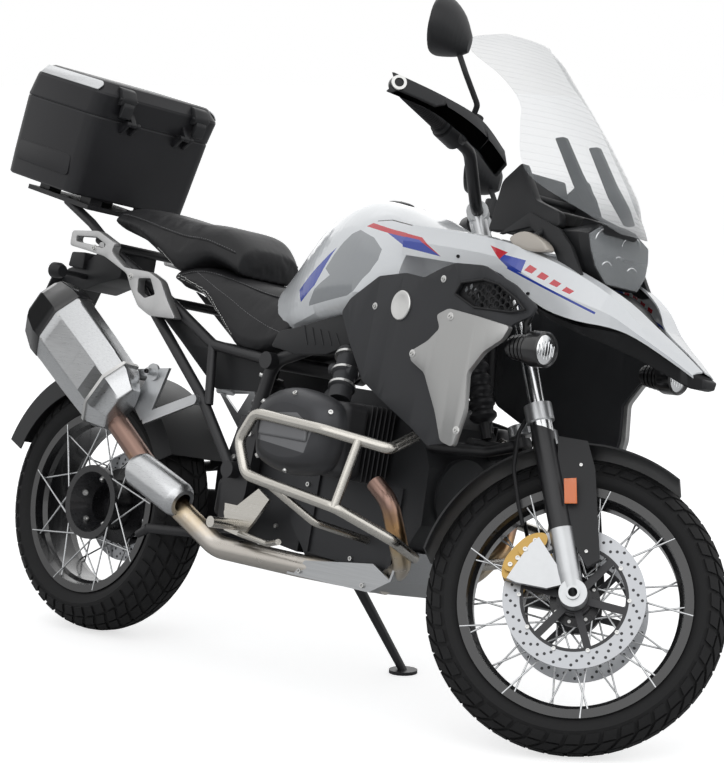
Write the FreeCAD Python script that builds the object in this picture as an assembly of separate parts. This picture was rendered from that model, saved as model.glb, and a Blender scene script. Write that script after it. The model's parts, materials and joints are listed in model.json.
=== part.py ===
import FreeCAD, Part
import math
import os

os.makedirs("parts", exist_ok=True)
V = FreeCAD.Vector

# An adventure motorcycle with a flat twin engine, parked on its side stand.
# It is drawn upright, +X forward, +Y left, +Z up, with the ground at z = 0 and
# x = 0 halfway between the axles, then steered, leaned and set on the ground.

# Stance
wheelbase = 1514.0
lean_deg = 12.0
steer_deg = 35.9
steer_travel_deg = 72.0
rake_deg = 25.7
trail = 100.6

# Front wheel
front_radius = 325.0
front_width = 120.0
front_crown = 62.0
front_bead = 241.0
front_bead_half = 43.0
# Rear wheel
rear_radius = 318.0
rear_width = 168.0
rear_crown = 90.0
rear_bead = 216.0
rear_bead_half = 60.0
# Rims and spokes
crown_half_deg = 66.0
rim_lip = 11.0
rim_wall = 7.0
rim_well = 20.0
spoke_radius = 2.1
spokes_per_side = 18
spoke_sweep_deg = 52.0
spoke_stagger = 3.4

# Hubs, axles and brakes
axle_radius = 15.0
axle_bore = 10.0
hub_flange = 54.0
hub_half = 71.0
disc_radius = 152.5
disc_inner = 118.0
disc_thick = 4.5
disc_plane = 76.0
rear_flange = 93.0
rear_hub_right = 66.0
rear_hub_left = 44.0
spigot_radius = 32.0
spigot_bore = 25.0
rear_disc_radius = 138.0
rear_disc_plane = 62.0

# Fork
leg_spacing = 110.0
tube_radius = 17.5
slider_radius = 24.5
leg_radius = 26.0
yoke_height = 988.0
bridge_height = 668.0
bar_radius = 14.0
grip_radius = 17.0
bar_half_width = 452.0

# Clearances
run_fit = 0.05
moving_gap = 6.0
hinge_fit = 0.05

# Windscreen
screen_wall = 4.0

# Top case
case_width = 410.0
case_length = 300.0
case_tub_height = 205.0
case_lid_height = 92.0
case_wall = 4.0
case_tilt_deg = 9.0
lid_seam = 0.6

# Side stand
stand_tube = 13.0
stand_foot_radius = 34.0
stand_foot_thick = 8.0
stand_travel_deg = 100.0
stand_pin = 8.0
stand_eye_half = 13.0
centre_travel_deg = 84.0


def unit(v):
    w = V(v)
    w.normalize()
    return w


# Steering geometry
front_axle = V(wheelbase / 2, 0, front_radius)
rear_axle = V(-wheelbase / 2, 0, rear_radius)
rake = math.radians(rake_deg)
steer_dir = V(-math.sin(rake), 0, math.cos(rake))
steer_ground = V(wheelbase / 2 + trail, 0, 0)
fork_offset = (front_axle - steer_ground).dot(V(math.cos(rake), 0, math.sin(rake)))
fork_ahead = V(math.cos(rake), 0, math.sin(rake))


def on_steering(height):
    """The point of the steering axis at this height."""
    return steer_ground + steer_dir * (height / steer_dir.z)


def beside(p, y=0.0):
    """The fork leg's point level with this point of the steering axis."""
    return p + fork_ahead * fork_offset + V(0, y, 0)


def on_fork(height, y=0.0):
    """The point of a fork leg's centre line at this height."""
    p = front_axle + steer_dir * ((height - front_axle.z) / steer_dir.z)
    return V(p.x, y, p.z)


# Basic shapes
def rod(a, b, r, r2=None):
    """A round bar from a to b, tapered to r2 where that is given."""
    a, b = V(*a), V(*b)
    if r2 is None:
        return Part.makeCylinder(r, (b - a).Length, a, b - a)
    return Part.makeCone(r, r2, (b - a).Length, a, b - a)


def hollow(a, b, r, bore):
    """A round tube from a to b."""
    return rod(a, b, r).cut(rod(a, b, bore))


def closed(points):
    corners = [V(*p) for p in points]
    return Part.makePolygon(corners + [corners[0]])


def prism(outline, y0, y1):
    """A plate with this x, z outline, from y0 to y1."""
    face = Part.Face(closed([(x, y0, z) for x, z in outline]))
    return face.extrude(V(0, y1 - y0, 0))


def curved(points):
    """A smooth closed wire through the points."""
    spline = Part.BSplineCurve()
    spline.interpolate([V(*p) for p in points], PeriodicFlag=True)
    return Part.Wire([spline.toShape()])


def smooth_prism(outline, y0, y1):
    """A plate with a smooth outline through these x, z points."""
    face = Part.Face(curved([(x, y0, z) for x, z in outline]))
    return face.extrude(V(0, y1 - y0, 0))


def loft(wires, ruled=False):
    return Part.makeLoft(wires, True, ruled)


def ribbed(stations):
    """A smooth symmetric body: each station is x and its half outline from
    the top centre down to the bottom centre, as y, z pairs."""
    wires = []
    for x, half in stations:
        left = [(x, y, z) for y, z in half]
        right = [(x, -y, z) for y, z in reversed(half) if y > 0]
        wires.append(curved(left + right))
    return loft(wires)


def spun(profile, centre, axis=(0, 1, 0)):
    """A revolve of radius, offset pairs round the axis through centre."""
    wire = closed([(r, s, 0) for r, s in profile])
    solid = Part.Face(wire).revolve(V(0, 0, 0), V(0, 1, 0), 360)
    solid.Placement = FreeCAD.Placement(V(*centre), FreeCAD.Rotation(V(0, 1, 0), V(*axis)))
    return solid


def bent_path(points, bend):
    """Straight runs joined by tangent arcs of radius bend."""
    pts = [V(*p) for p in points]
    edges = []
    start = pts[0]
    for a, b, c in zip(pts, pts[1:], pts[2:]):
        into, out = b - a, c - b
        shorter = min(into.Length, out.Length)
        into.normalize()
        out.normalize()
        half_turn = into.getAngle(out) / 2
        radius = min(bend, 0.45 * shorter / math.tan(half_turn))
        back = radius * math.tan(half_turn)
        inward = unit(out - into)
        middle = b + inward * (radius / math.cos(half_turn) - radius)
        edges.append(Part.LineSegment(start, b - into * back).toShape())
        edges.append(Part.Arc(b - into * back, middle, b + out * back).toShape())
        start = b + out * back
    edges.append(Part.LineSegment(start, pts[-1]).toShape())
    return Part.Wire(edges)


def tube(points, r, bend=40.0):
    """A round bar bent along the points."""
    if len(points) == 2:
        return rod(points[0], points[1], r)
    path = bent_path(points, bend)
    first = V(*points[1]) - V(*points[0])
    ring = Part.Wire([Part.makeCircle(r, V(*points[0]), first)])
    return path.makePipeShell([ring], True, False)


def joined(pieces):
    """One solid of pieces that meet."""
    return pieces[0].fuse(pieces[1:]).removeSplitter()


def mirrored(shape):
    return shape.mirror(V(0, 0, 0), V(0, 1, 0))


def pair(shape):
    """The right and left copies of a piece that is drawn on one side."""
    return [shape, mirrored(shape)]


def trimmed(shape, neighbours, keep=1):
    """The shape seated against its neighbours, without crumbs."""
    for other in neighbours:
        if shape.BoundBox.intersect(other.BoundBox):
            shape = shape.cut(other)
    solids = sorted(shape.Solids, key=lambda s: s.Volume, reverse=True)[:keep]
    return solids[0] if keep == 1 else Part.makeCompound(solids)


def turned(shape, angle_deg, centre, axis):
    copy = shape.copy()
    copy.rotate(V(*centre), V(*axis), angle_deg)
    return copy


def rounded_box(x0, x1, y0, y1, z0, z1, r):
    box = Part.makeBox(x1 - x0, y1 - y0, z1 - z0, V(x0, y0, z0))
    return box.makeFillet(r, box.Edges)


# Wheels
def tyre(centre, radius, crown, bead, bead_half):
    """A tyre whose crown is one arc, seated on the rim between its lips."""
    core = radius - crown
    a = math.radians(crown_half_deg)
    shoulder = V(core + crown * math.cos(a), crown * math.sin(a), 0)
    lip = V(bead + rim_lip, bead_half, 0)
    bulge = (shoulder + lip) * 0.5 + V(0, 4.0, 0)
    crown_arc = Part.Arc(V(shoulder.x, -shoulder.y, 0), V(radius, 0, 0), shoulder)
    left = Part.Arc(shoulder, bulge, lip)
    right = Part.Arc(V(lip.x, -lip.y, 0), V(bulge.x, -bulge.y, 0), V(shoulder.x, -shoulder.y, 0))
    seat = [V(lip.x, lip.y, 0), V(bead, lip.y, 0), V(bead, -lip.y, 0), V(lip.x, -lip.y, 0)]
    edges = [crown_arc.toShape(), left.toShape()]
    edges += [Part.LineSegment(a, b).toShape() for a, b in zip(seat, seat[1:])]
    edges.append(right.toShape())
    ring = Part.Face(Part.Wire(edges)).revolve(V(0, 0, 0), V(0, 1, 0), 360)
    ring.translate(centre)
    return ring


def rim(centre, bead, bead_half):
    """A well-based rim with raised lips, drawn as half its section."""
    half = [
        (bead, 0),
        (bead, bead_half),
        (bead + rim_lip, bead_half),
        (bead + rim_lip, bead_half + rim_wall),
        (bead - 8, bead_half + rim_wall),
        (bead - 12, bead_half - 14),
        (bead - rim_well, bead_half - 24),
        (bead - rim_well, 0),
    ]
    other = [(r, -s) for r, s in reversed(half) if s > 0]
    return spun(half + other, centre)


def spoked_hub(hub, rim_solid, centre, flange_r, flange_y, rim_r, rim_y):
    """The hub with its crossed spokes, cut off flush in the rim. flange_y
    and rim_y hold the offsets of the left and right sides."""
    spokes = []
    sweep = math.radians(spoke_sweep_deg)
    for side in (0, 1):
        for lead in (-1, 1):
            shift = lead * spoke_stagger
            root = V(flange_r, flange_y[side] + shift, 0)
            tip = V(rim_r * math.cos(sweep * lead), rim_y[side] + shift, rim_r * math.sin(sweep * lead))
            end = root + (tip - root) * 1.06
            spoke = rod(centre + root, centre + end, spoke_radius)
            spoke = trimmed(spoke, [rim_solid])
            step = 720.0 / spokes_per_side
            for k in range(spokes_per_side // 2):
                spokes.append(turned(spoke, step * (k + 0.25 * (lead + 1) + 0.5 * side), centre, (0, 1, 0)))
    return hub.fuse(spokes)


def spoked_carrier(radius, bore, y0, y1, arms, ring, arm_width):
    """A brake disc's carrier: a hub ring, an outer ring and arms."""
    plate = hollow((0, y0, 0), (0, y1, 0), radius, bore)
    inner, outer = bore + ring, radius - ring
    window = hollow((0, y0 - 1, 0), (0, y1 + 1, 0), outer, inner)
    for k in range(arms):
        arm = Part.makeBox(outer + ring, y1 - y0 + 2, arm_width, V(0, y0 - 1, -arm_width / 2))
        window = window.cut(turned(arm, 360.0 / arms * k, (0, 0, 0), (0, 1, 0)))
    return plate.cut(window)


front_tyre = tyre(front_axle, front_radius, front_crown, front_bead, front_bead_half)
front_rim = rim(front_axle, front_bead, front_bead_half)
rear_tyre = tyre(rear_axle, rear_radius, rear_crown, rear_bead, rear_bead_half)
rear_rim = rim(rear_axle, rear_bead, rear_bead_half)


def front_hub():
    bore = axle_radius + run_fit
    half = [(bore, 0), (bore, hub_half), (38, hub_half), (38, 50), (hub_flange, 46), (hub_flange, 30), (32, 22), (32, 0)]
    hub = spun(half + [(r, -s) for r, s in reversed(half) if s > 0], front_axle)
    offset = front_bead_half + 2
    return spoked_hub(hub, front_rim, front_axle, hub_flange - 8, (38, -38), front_bead - 2, (offset, -offset))


def rear_hub():
    bore = spigot_radius + run_fit
    profile = [
        (bore, rear_hub_left), (rear_flange, rear_hub_left), (rear_flange, rear_hub_left - 14), (64, 22), (58, -20),
        (72, -44), (rear_flange, -rear_hub_right + 14), (rear_flange, -rear_hub_right), (76, -rear_hub_right),
        (48, -16), (48, 22), (bore, 22),
    ]
    hub = spun(profile, rear_axle)
    offset = rear_bead_half + 2
    flanges = (rear_hub_left - 7, -rear_hub_right + 7)
    return spoked_hub(hub, rear_rim, rear_axle, rear_flange - 8, flanges, rear_bead - 2, (offset, -offset))


def front_discs():
    """Twin discs on their carriers, each bolted to the hub's end."""
    inside, outside = disc_plane - disc_thick / 2, disc_plane + disc_thick / 2
    disc = hollow((0, inside, 0), (0, outside, 0), disc_radius, disc_inner)
    carrier = spoked_carrier(disc_inner, 24, inside, outside, 6, 9, 16)
    seat = hollow((0, hub_half, 0), (0, inside, 0), 38, 24)
    one = joined([disc, carrier, seat])
    one.translate(front_axle)
    return pair(one)


def rear_disc():
    inside, outside = rear_disc_plane - disc_thick / 2, rear_disc_plane + disc_thick / 2
    disc = hollow((0, inside, 0), (0, outside, 0), rear_disc_radius, rear_disc_radius - 36)
    carrier = spoked_carrier(rear_disc_radius - 36, spigot_radius + 8, inside, outside, 5, 10, 18)
    seat = hollow((0, rear_hub_left, 0), (0, inside, 0), 60, spigot_radius + 8)
    one = joined([disc, carrier, seat])
    one.translate(rear_axle)
    return one


# Fork and handlebar, drawn straight ahead and turned with the steering
def side_by_side(shape):
    return Part.makeCompound(pair(shape))


def fork_tube():
    """One leg's bright tube with its thick black slider below."""
    top = beside(on_steering(yoke_height), -leg_spacing) + steer_dir * (yoke_thick + 8)
    shoulder = beside(on_steering(bridge_height), -leg_spacing) - steer_dir * 19
    foot = on_fork(455, -leg_spacing)
    return joined([rod(shoulder, top, tube_radius), rod(foot, shoulder, slider_radius)])


def fork_leg():
    """One silver lower leg with its axle clamp and brake lugs."""
    leg = rod(on_fork(366, -leg_spacing), on_fork(455, -leg_spacing), slider_radius, leg_radius)
    boss = rod((front_axle.x, -leg_spacing - 20, front_axle.z), (front_axle.x, -leg_spacing + 22, front_axle.z), 30)
    neck = rod(on_fork(330, -leg_spacing), on_fork(370, -leg_spacing), 22, slider_radius)
    lug = prism([(742, 345), (655, 425), (640, 405), (612, 322), (634, 318), (700, 322)], -leg_spacing - 10, -leg_spacing + 4)
    axle_hole = rod((front_axle.x, -200, front_axle.z), (front_axle.x, 0, front_axle.z), axle_radius)
    return joined([leg, boss, neck, lug]).cut(axle_hole)


def front_axle_tube():
    y = leg_spacing + 26
    a = (front_axle.x, -y, front_axle.z)
    b = (front_axle.x, y, front_axle.z)
    return hollow(a, b, axle_radius, axle_bore)


caliper_inner = 58.0


def caliper():
    """A four-piston caliper over the disc, bolted to the leg's lug."""
    outline = [(598, 330), (596, 362), (612, 400), (640, 432), (668, 436), (672, 418), (650, 396), (634, 366), (626, 326)]
    body = smooth_prism(outline, -leg_spacing + 4, -caliper_inner)
    slot = disc_thick / 2 + moving_gap
    gap = rod((front_axle.x, -disc_plane - slot, front_axle.z), (front_axle.x, -disc_plane + slot, front_axle.z), disc_radius + 5)
    bodies = [body]
    for x, z in ((612, 352), (634, 392)):
        bodies.append(rod((x, -leg_spacing - 8, z), (x, -leg_spacing + 6, z), 15))
    return trimmed(joined(bodies), [gap, fork_leg()])


def top_yoke():
    """The upper clamp with the steering stem and the bar's two risers."""
    mid = on_steering(yoke_height)
    left, right = beside(mid, leg_spacing), beside(mid, -leg_spacing)
    corners = [left + V(26, 20, 0), right + V(26, -20, 0), right + V(-24, -26, 0), mid + V(-36, -32, 0),
               mid + V(-36, 32, 0), left + V(-24, 26, 0)]
    flat = [tuple(p - steer_dir * (p - mid).dot(steer_dir)) for p in corners]
    pieces = [Part.Face(closed(flat)).extrude(steer_dir * yoke_thick)]
    pieces.append(rod(mid - steer_dir * stem_length, mid + steer_dir * 8, stem_radius))
    for y in (-40, 40):
        foot = V(mid.x - 4, y, mid.z + 10)
        pieces.append(rod(foot, (bar_clamp.x, y, bar_clamp.z), 17))
        pieces.append(rod((bar_clamp.x, y - 15, bar_clamp.z), (bar_clamp.x, y + 15, bar_clamp.z), 25))
    yoke = joined(pieces)
    for p in (left, right):
        yoke = yoke.cut(rod(p - steer_dir * 60, p + steer_dir * 60, tube_radius))
    return yoke.cut(rod((bar_clamp.x, -100, bar_clamp.z), (bar_clamp.x, 100, bar_clamp.z), bar_radius))


def lower_bridge():
    """The bridge that ties the legs and holds the wishbone's ball pin."""
    mid = on_steering(bridge_height)
    pieces = [rod(mid - steer_dir * 12, mid + steer_dir * 12, 26)]
    for y in (-leg_spacing, leg_spacing):
        clamp = beside(mid, y)
        pieces.append(rod(clamp - steer_dir * 19, clamp + steer_dir * 19, tube_radius + 13))
    beam = Part.makeBox(34, 2 * leg_spacing - 20, 24, V(fork_offset - 22, -leg_spacing + 10, -12))
    web = Part.makeBox(fork_offset, 36, 20, V(0, -18, -10))
    block = joined([beam, web])
    block.rotate(V(0, 0, 0), V(0, 1, 0), -rake_deg)
    block.translate(mid)
    bridge = joined(pieces + [block])
    for y in (-leg_spacing, leg_spacing):
        clamp = beside(mid, y)
        bridge = bridge.cut(rod(clamp - steer_dir * 90, clamp + steer_dir * 90, tube_radius))
    return bridge.cut(rod(mid - steer_dir * 60, mid + steer_dir * 60, ball_pin_radius + run_fit))


stem_radius = 14.0
stem_length = 78.0
yoke_thick = 16.0
ball_pin_radius = 10.0
bar_clamp = V(314, 0, 1126)
bar_tip = V(166, bar_half_width, 1214)
bar_rise = [
    (bar_clamp.x, 0, bar_clamp.z),
    (bar_clamp.x, -95, bar_clamp.z),
    (bar_clamp.x - 24, -215, bar_clamp.z + 74),
    (bar_tip.x, -bar_tip.y, bar_tip.z),
]


def handlebar():
    half = tube(bar_rise, bar_radius, 70)
    return joined(pair(half))


def bar_point(share, lift=0.0):
    """A point of the right-hand grip's straight run, 0 inside to 1 at the tip."""
    a, b = V(*bar_rise[2]), V(*bar_rise[3])
    p = a + (b - a) * share
    return V(p.x, p.y, p.z + lift)


def grip_set():
    """Grip, switch cluster, fluid reservoir and lever of the right side."""
    direction = unit(bar_point(1) - bar_point(0))
    bar = rod(bar_point(-0.02), bar_point(1.02), bar_radius)
    grip = rod(bar_point(0.46), bar_point(0.985), grip_radius)
    collar = rod(bar_point(0.44), bar_point(0.47), grip_radius + 6)
    cluster = rod(bar_point(0.22), bar_point(0.42), grip_radius + 10)
    weight = rod(bar_point(1.0), bar_point(1.0) + direction * 26, grip_radius)
    pot = rod(bar_point(0.2, 18) + V(22, 0, 0), bar_point(0.2, 62) + V(22, 0, 0), 21)
    lever_root = bar_point(0.3) + V(34, 0, -6)
    lever = tube([tuple(lever_root), tuple(bar_point(0.5) + V(62, 0, -10)), tuple(bar_point(0.98) + V(50, 0, -10))], 6, 30)
    perch = rod(bar_point(0.3), lever_root, 13)
    pieces = joined([cluster, pot, perch, lever, collar, grip, weight])
    return pieces.cut(bar)


def hand_guard():
    """A curved guard ahead of the lever, on its stay from the bar's end."""
    tip = bar_point(1.0) + unit(bar_point(1) - bar_point(0)) * 27
    lower = [tip + V(-14, -12, -28), V(260, -440, 1170), V(372, -352, 1130), V(400, -258, 1098)]
    rise = [56.0, 84.0, 92.0, 70.0]
    wires = []
    for p, high in zip(lower, rise):
        wires.append(closed([(p.x, p.y, p.z), (p.x + 16, p.y, p.z + high / 2), (p.x, p.y, p.z + high),
                             (p.x - 7, p.y + 4, p.z + high), (p.x + 8, p.y + 4, p.z + high / 2), (p.x - 7, p.y + 4, p.z)]))
    shield = loft(wires)
    return joined([shield, rod(tip, tip + V(4, -14, 0), 18)])


def mirror_head():
    """A mirror's head on its bent stem, clamped to the bar."""
    stem = tube([tuple(bar_point(0.12)), (296, -330, 1262), (276, -392, 1300), (232, -430, 1345)], 6, 24)
    back = [(0, -62), (54, -46), (66, 0), (50, 40), (0, 54), (-56, 34), (-68, -8), (-50, -50)]
    wires = []
    for depth, scale in ((0, 1.0), (12, 0.96), (26, 0.74), (34, 0.4)):
        wires.append(curved([(depth, y * scale, z * scale) for y, z in back]))
    head = loft(wires)
    head.rotate(V(0, 0, 0), V(1, 0, 0), 24)
    head.rotate(V(0, 0, 0), V(0, 0, 1), 14)
    head.translate(V(212, -452, 1386))
    clamp = rod(bar_point(0.12, -4), bar_point(0.12, 22), 12)
    bar = rod(bar_point(-0.3), bar_point(0.6), bar_radius)
    return joined([stem, head, clamp]).cut(bar)


def front_mudguard():
    """A guard over the front tyre on stays from the fork legs."""
    inner, outer = front_radius + 14, front_radius + 18
    ring = spun([(outer, -74), (outer, 74), (inner - 34, 80), (inner - 34, 76), (inner, 70), (inner, -70),
                 (inner - 34, -76), (inner - 34, -80)], front_axle)
    a0, a1 = math.radians(64), math.radians(176)
    reach = 500.0
    fan = [(front_axle.x, front_axle.z)]
    for k in range(6):
        a = a0 + (a1 - a0) * k / 5
        fan.append((front_axle.x + reach * math.cos(a), front_axle.z + reach * math.sin(a)))
    guard = ring.common(prism(fan, -120, 120))
    for y in (-leg_spacing, leg_spacing):
        side = 1 if y > 0 else -1
        web = prism([(640, 668), (700, 668), (716, 600), (664, 560), (622, 640)], side * 77, side * (leg_spacing - 8))
        guard = guard.fuse(web)
    legs = [rod(on_fork(400, y), on_fork(760, y), slider_radius) for y in (-leg_spacing, leg_spacing)]
    clear = rod((front_axle.x, -75.5, front_axle.z), (front_axle.x, 75.5, front_axle.z), inner - 0.5)
    return trimmed(guard.removeSplitter(), legs + [clear])


def fork_cover():
    """The dark blade that runs down the front of a fork leg."""
    outline = [(636, 650), (700, 655), (731, 600), (792, 410), (770, 388), (722, 440), (648, 600)]
    plate = prism(outline, -leg_spacing - 9, -leg_spacing + 9)
    leg = rod(on_fork(400, -leg_spacing), on_fork(760, -leg_spacing), slider_radius)
    return trimmed(plate, [leg])


def brake_hose():
    """The hose from the bridge down to the caliper."""
    return tube([(560, -92, 690), (548, -100, 640), (560, -104, 560), (590, -100, 490), (612, -96, 446)], 4.5, 60)


# Chassis pieces
def engine_block():
    """Crankcase, front cover and gearbox, ribbed along their sides."""
    crank = prism([(402, 430), (396, 560), (350, 655), (260, 705), (60, 705), (20, 660), (0, 380), (60, 318), (330, 305)], -118, 118)
    gear = prism([(20, 660), (-120, 640), (-190, 560), (-158, 430), (-150, 330), (20, 312)], -98, 98)
    cover = rod((390, 0, 500), (406, 0, 500), 88)
    sump = prism([(30, 320), (320, 308), (300, 286), (60, 286)], -92, 92)
    pieces = [crank, gear, cover, sump]
    for x in (70, 330):
        pieces.append(prism([(x - 7, 320), (x + 7, 320), (x + 7, 500), (x - 7, 500)], -124, 124))
    return joined(pieces)


cylinder_x = 178.0
cylinder_z = 585.0
cylinder_reach = 300.0


def cylinder():
    """The right cylinder and head with their cooling fins."""
    barrel = rod((cylinder_x, -110, cylinder_z), (cylinder_x, -cylinder_reach, cylinder_z), 78)
    head = rounded_box(cylinder_x - 112, cylinder_x + 118, -cylinder_reach, -222, cylinder_z - 84, cylinder_z + 84, 18)
    pieces = [barrel, head]
    for k in range(6):
        y = -136 - 15 * k
        pieces.append(rounded_box(cylinder_x - 104, cylinder_x + 112, y - 4, y, cylinder_z - 86, cylinder_z + 86, 1.9))
    return joined(pieces)


def valve_cover():
    """The right valve cover: a tapered shell with a raised middle."""
    stations = ((-cylinder_reach, 1.0), (-cylinder_reach - 22, 0.98), (-cylinder_reach - 46, 0.86), (-cylinder_reach - 60, 0.62))
    shape = [(-122, -20), (-112, 62), (-60, 92), (40, 94), (112, 66), (126, 0), (104, -66), (40, -90), (-60, -88), (-108, -66)]
    wires = []
    for y, k in stations:
        wires.append(curved([(cylinder_x + x * k, y, cylinder_z + z * k) for x, z in shape]))
    cover = loft(wires)
    rib = rounded_box(cylinder_x - 80, cylinder_x + 70, -cylinder_reach - 66, -cylinder_reach - 50, cylinder_z - 18, cylinder_z + 22, 6)
    return joined([cover, rib])


head_radius = 34.0
pivot_plate = (-170.0, 520.0)


def main_frame():
    """Steering head, top and down tubes and the pivot plates."""
    seat = on_steering(yoke_height)
    top, low = seat - steer_dir * 1.0, seat - steer_dir * (stem_length - 6)
    pieces = [rod(low, top, head_radius)]
    for y in (-1, 1):
        pieces.append(tube([(366, y * 20, 950), (300, y * 70, 924), (170, y * 128, 850), (-130, y * 128, 735), (-168, y * 128, 560)], 16, 60))
        pieces.append(tube([(376, y * 20, 940), (340, y * 84, 850), (330, y * 128, 640)], 14, 40))
        pieces.append(rod((330, y * 100, 640), (330, y * 142, 640), 20))
        pieces.append(prism([(-130, 600), (-190, 600), (-222, 480), (-212, 332), (-160, 328), (-136, 420)], y * 112, y * 142))
    pieces.append(rod((-130, -140, 735), (-130, 140, 735), 18))
    pieces.append(rod((centre_pivot.x, -140, centre_pivot.z), (centre_pivot.x, 140, centre_pivot.z), centre_pin))
    pieces.append(rod((316, -66, 926), (316, 66, 926), 14))
    pieces.append(rod((400, 0, 952), (640, 0, 962), 13))
    pieces.append(rod((630, -172, 962), (630, 172, 962), 10))
    for y in (-52, 52):
        pieces.append(rod((630, y, 915), (630, y, 1000), 8))
    frame = joined(pieces)
    return frame.cut(rod(low - steer_dir * 20, top + steer_dir * 20, stem_radius + run_fit))


def subframe():
    """The rear trellis that carries the seats, rack and silencer."""
    pieces = []
    for y in (-1, 1):
        pieces.append(tube([(-120, y * 150, 735), (-330, y * 140, 752), (-520, y * 125, 840), (-830, y * 118, 972)], 13, 60))
        pieces.append(tube([(-182, y * 155, 470), (-330, y * 150, 628), (-700, y * 125, 916)], 13, 60))
        pieces.append(rod((-300, y * 150, 610), (-330, y * 142, 756), 11))
        pieces.append(rod((-182, y * 142, 470), (-182, y * 170, 470), 20))
        pieces.append(rod((-120, y * 140, 735), (-120, y * 166, 735), 20))
    pieces.append(rod((-520, -125, 840), (-520, 125, 840), 11))
    pieces.append(rod((-800, -118, 959), (-800, 118, 959), 11))
    pieces.append(rod((-330, -140, 752), (-330, 140, 752), 11))
    return joined(pieces)


def swing_arm():
    """The single-sided arm with the bevel drive and its torque strut."""
    beam = prism([(-226, 446), (-226, 360), (-470, 318), (-660, 268), (-740, 262), (-740, 372), (-660, 388), (-470, 408)], 104, 166)
    beam = beam.makeFillet(14, beam.Edges)
    yoke = rounded_box(-276, -218, -104, 150, 356, 444, 12)
    bore = spigot_bore
    drive = spun([(bore, 76), (84, 76), (100, 92), (102, 134), (88, 170), (44, 190), (bore, 190)], rear_axle)
    spigot = hollow((rear_axle.x, 20, rear_axle.z), (rear_axle.x, 76, rear_axle.z), spigot_radius, bore)
    strut = rod((-690, 118, 428), (-226, 118, 520), 13)
    lug = rod((-690, 104, 428), (-690, 134, 428), 22)
    bridge = prism([(-712, 428), (-668, 428), (-680, 370), (-730, 370)], 106, 132)
    core = rod((rear_axle.x, 0, rear_axle.z), (rear_axle.x, 300, rear_axle.z), bore)
    return joined([beam.cut(core), yoke, drive, spigot, bridge, lug, strut])


ball_joint = on_steering(bridge_height)


def front_arm():
    """The wishbone from the engine to the fork bridge's ball joint."""
    joint = ball_joint - steer_dir * 30
    pieces = [rod(joint - steer_dir * 10, joint + steer_dir * 10, 21), rod(joint, joint + steer_dir * 42, ball_pin_radius)]
    for y in (-1, 1):
        pieces.append(tube([tuple(joint), (478, y * 34, joint.z - 28), (380, y * 104, 606), (300, y * 112, 590)], 13, 40))
        pieces.append(rod((300, y * 128, 590), (300, y * 100, 590), 22))
    pieces.append(rod((446, -56, 626), (446, 56, 626), 12))
    return joined(pieces)


def shocks():
    """Front and rear spring struts with their coils as ringed bellows."""
    def strut(a, b, coil_r, turns):
        a, b = V(*a), V(*b)
        along = b - a
        length = along.Length
        profile = [(0, 0), (12, 0), (12, 0.12 * length)]
        low, high = 0.14 * length, 0.86 * length
        for k in range(turns):
            s = low + (high - low) * k / turns
            step = (high - low) / turns
            profile += [(coil_r - 7, s), (coil_r, s + 0.25 * step), (coil_r, s + 0.5 * step), (coil_r - 7, s + 0.8 * step)]
        profile += [(coil_r - 7, high), (12, high), (12, length), (0, length)]
        return spun(profile, a, unit(along))
    front = strut((446, 0, 640), (316, 0, 926), 31, 8)
    rear = strut((-300, 0, 440), (-246, 0, 742), 33, 8)
    return [front, rear]


def exhaust():
    """Header pipes to a collector under the engine and the link pipe."""
    pieces = [
        tube([(330, -210, 505), (378, -206, 470), (392, -180, 400), (372, -120, 330), (300, -96, 290)], 21, 60),
        tube([(330, 210, 505), (378, 206, 470), (392, 180, 400), (372, 120, 330), (300, 96, 290)], 21, 60),
        tube([(310, -96, 288), (60, -116, 284), (-196, -143, 286), (-310, -168, 352), (-450, -188, 450), (-590, -198, 552)], 27, 90),
    ]
    return pieces


def silencer_axis(share):
    a, b = V(-560, -196, 530), V(-860, -218, 752)
    return a + (b - a) * share


def silencer():
    """A six-sided can with a crease down its outer face."""
    along = unit(silencer_axis(1) - silencer_axis(0))
    side = V(0, 1, 0)
    up = unit(along.cross(side) * -1)
    hexagon = [(-52, 0), (-40, 58), (34, 70), (54, 20), (50, -46), (-18, -78)]
    wires = []
    for share, k in ((0.0, 0.62), (0.12, 0.95), (0.9, 1.0)):
        c = silencer_axis(share)
        wires.append(closed([tuple(c + side * (s * k) + up * (u * k)) for s, u in hexagon]))
    return loft(wires, True)


tank_stations = (
    (-240, [(0, 892), (60, 885), (96, 840), (90, 780), (0, 765)]),
    (-130, [(0, 1008), (80, 990), (140, 920), (128, 800), (0, 770)]),
    (-20, [(0, 1092), (96, 1074), (178, 985), (160, 840), (0, 800)]),
    (90, [(0, 1137), (110, 1116), (205, 1010), (190, 880), (0, 850)]),
    (200, [(0, 1108), (106, 1092), (210, 1000), (200, 890), (0, 880)]),
    (290, [(0, 1068), (84, 1054), (182, 985), (178, 905), (0, 960)]),
)


def tank():
    return ribbed(tank_stations)


def spline_edge(points):
    spline = Part.BSplineCurve()
    spline.interpolate([V(*p) for p in points])
    return spline.toShape()


def draped(outline, plan, wall):
    """A right-hand panel with this x, z outline, bent along the x, y line of
    its outer face and one wall thick."""
    low = min(z for x, z in outline) - 1
    high = max(z for x, z in outline) + 1
    outer = [(x, y, low) for x, y in plan]
    inner = [(x, y + wall, low) for x, y in plan]
    edges = [spline_edge(outer), Part.LineSegment(V(*outer[-1]), V(*inner[-1])).toShape(),
             spline_edge(inner), Part.LineSegment(V(*inner[0]), V(*outer[0])).toShape()]
    skin = Part.Face(Part.Wire(Part.__sortEdges__(edges))).extrude(V(0, 0, high - low))
    return skin.common(prism(outline, -500, 0)).Solids[0]


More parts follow.
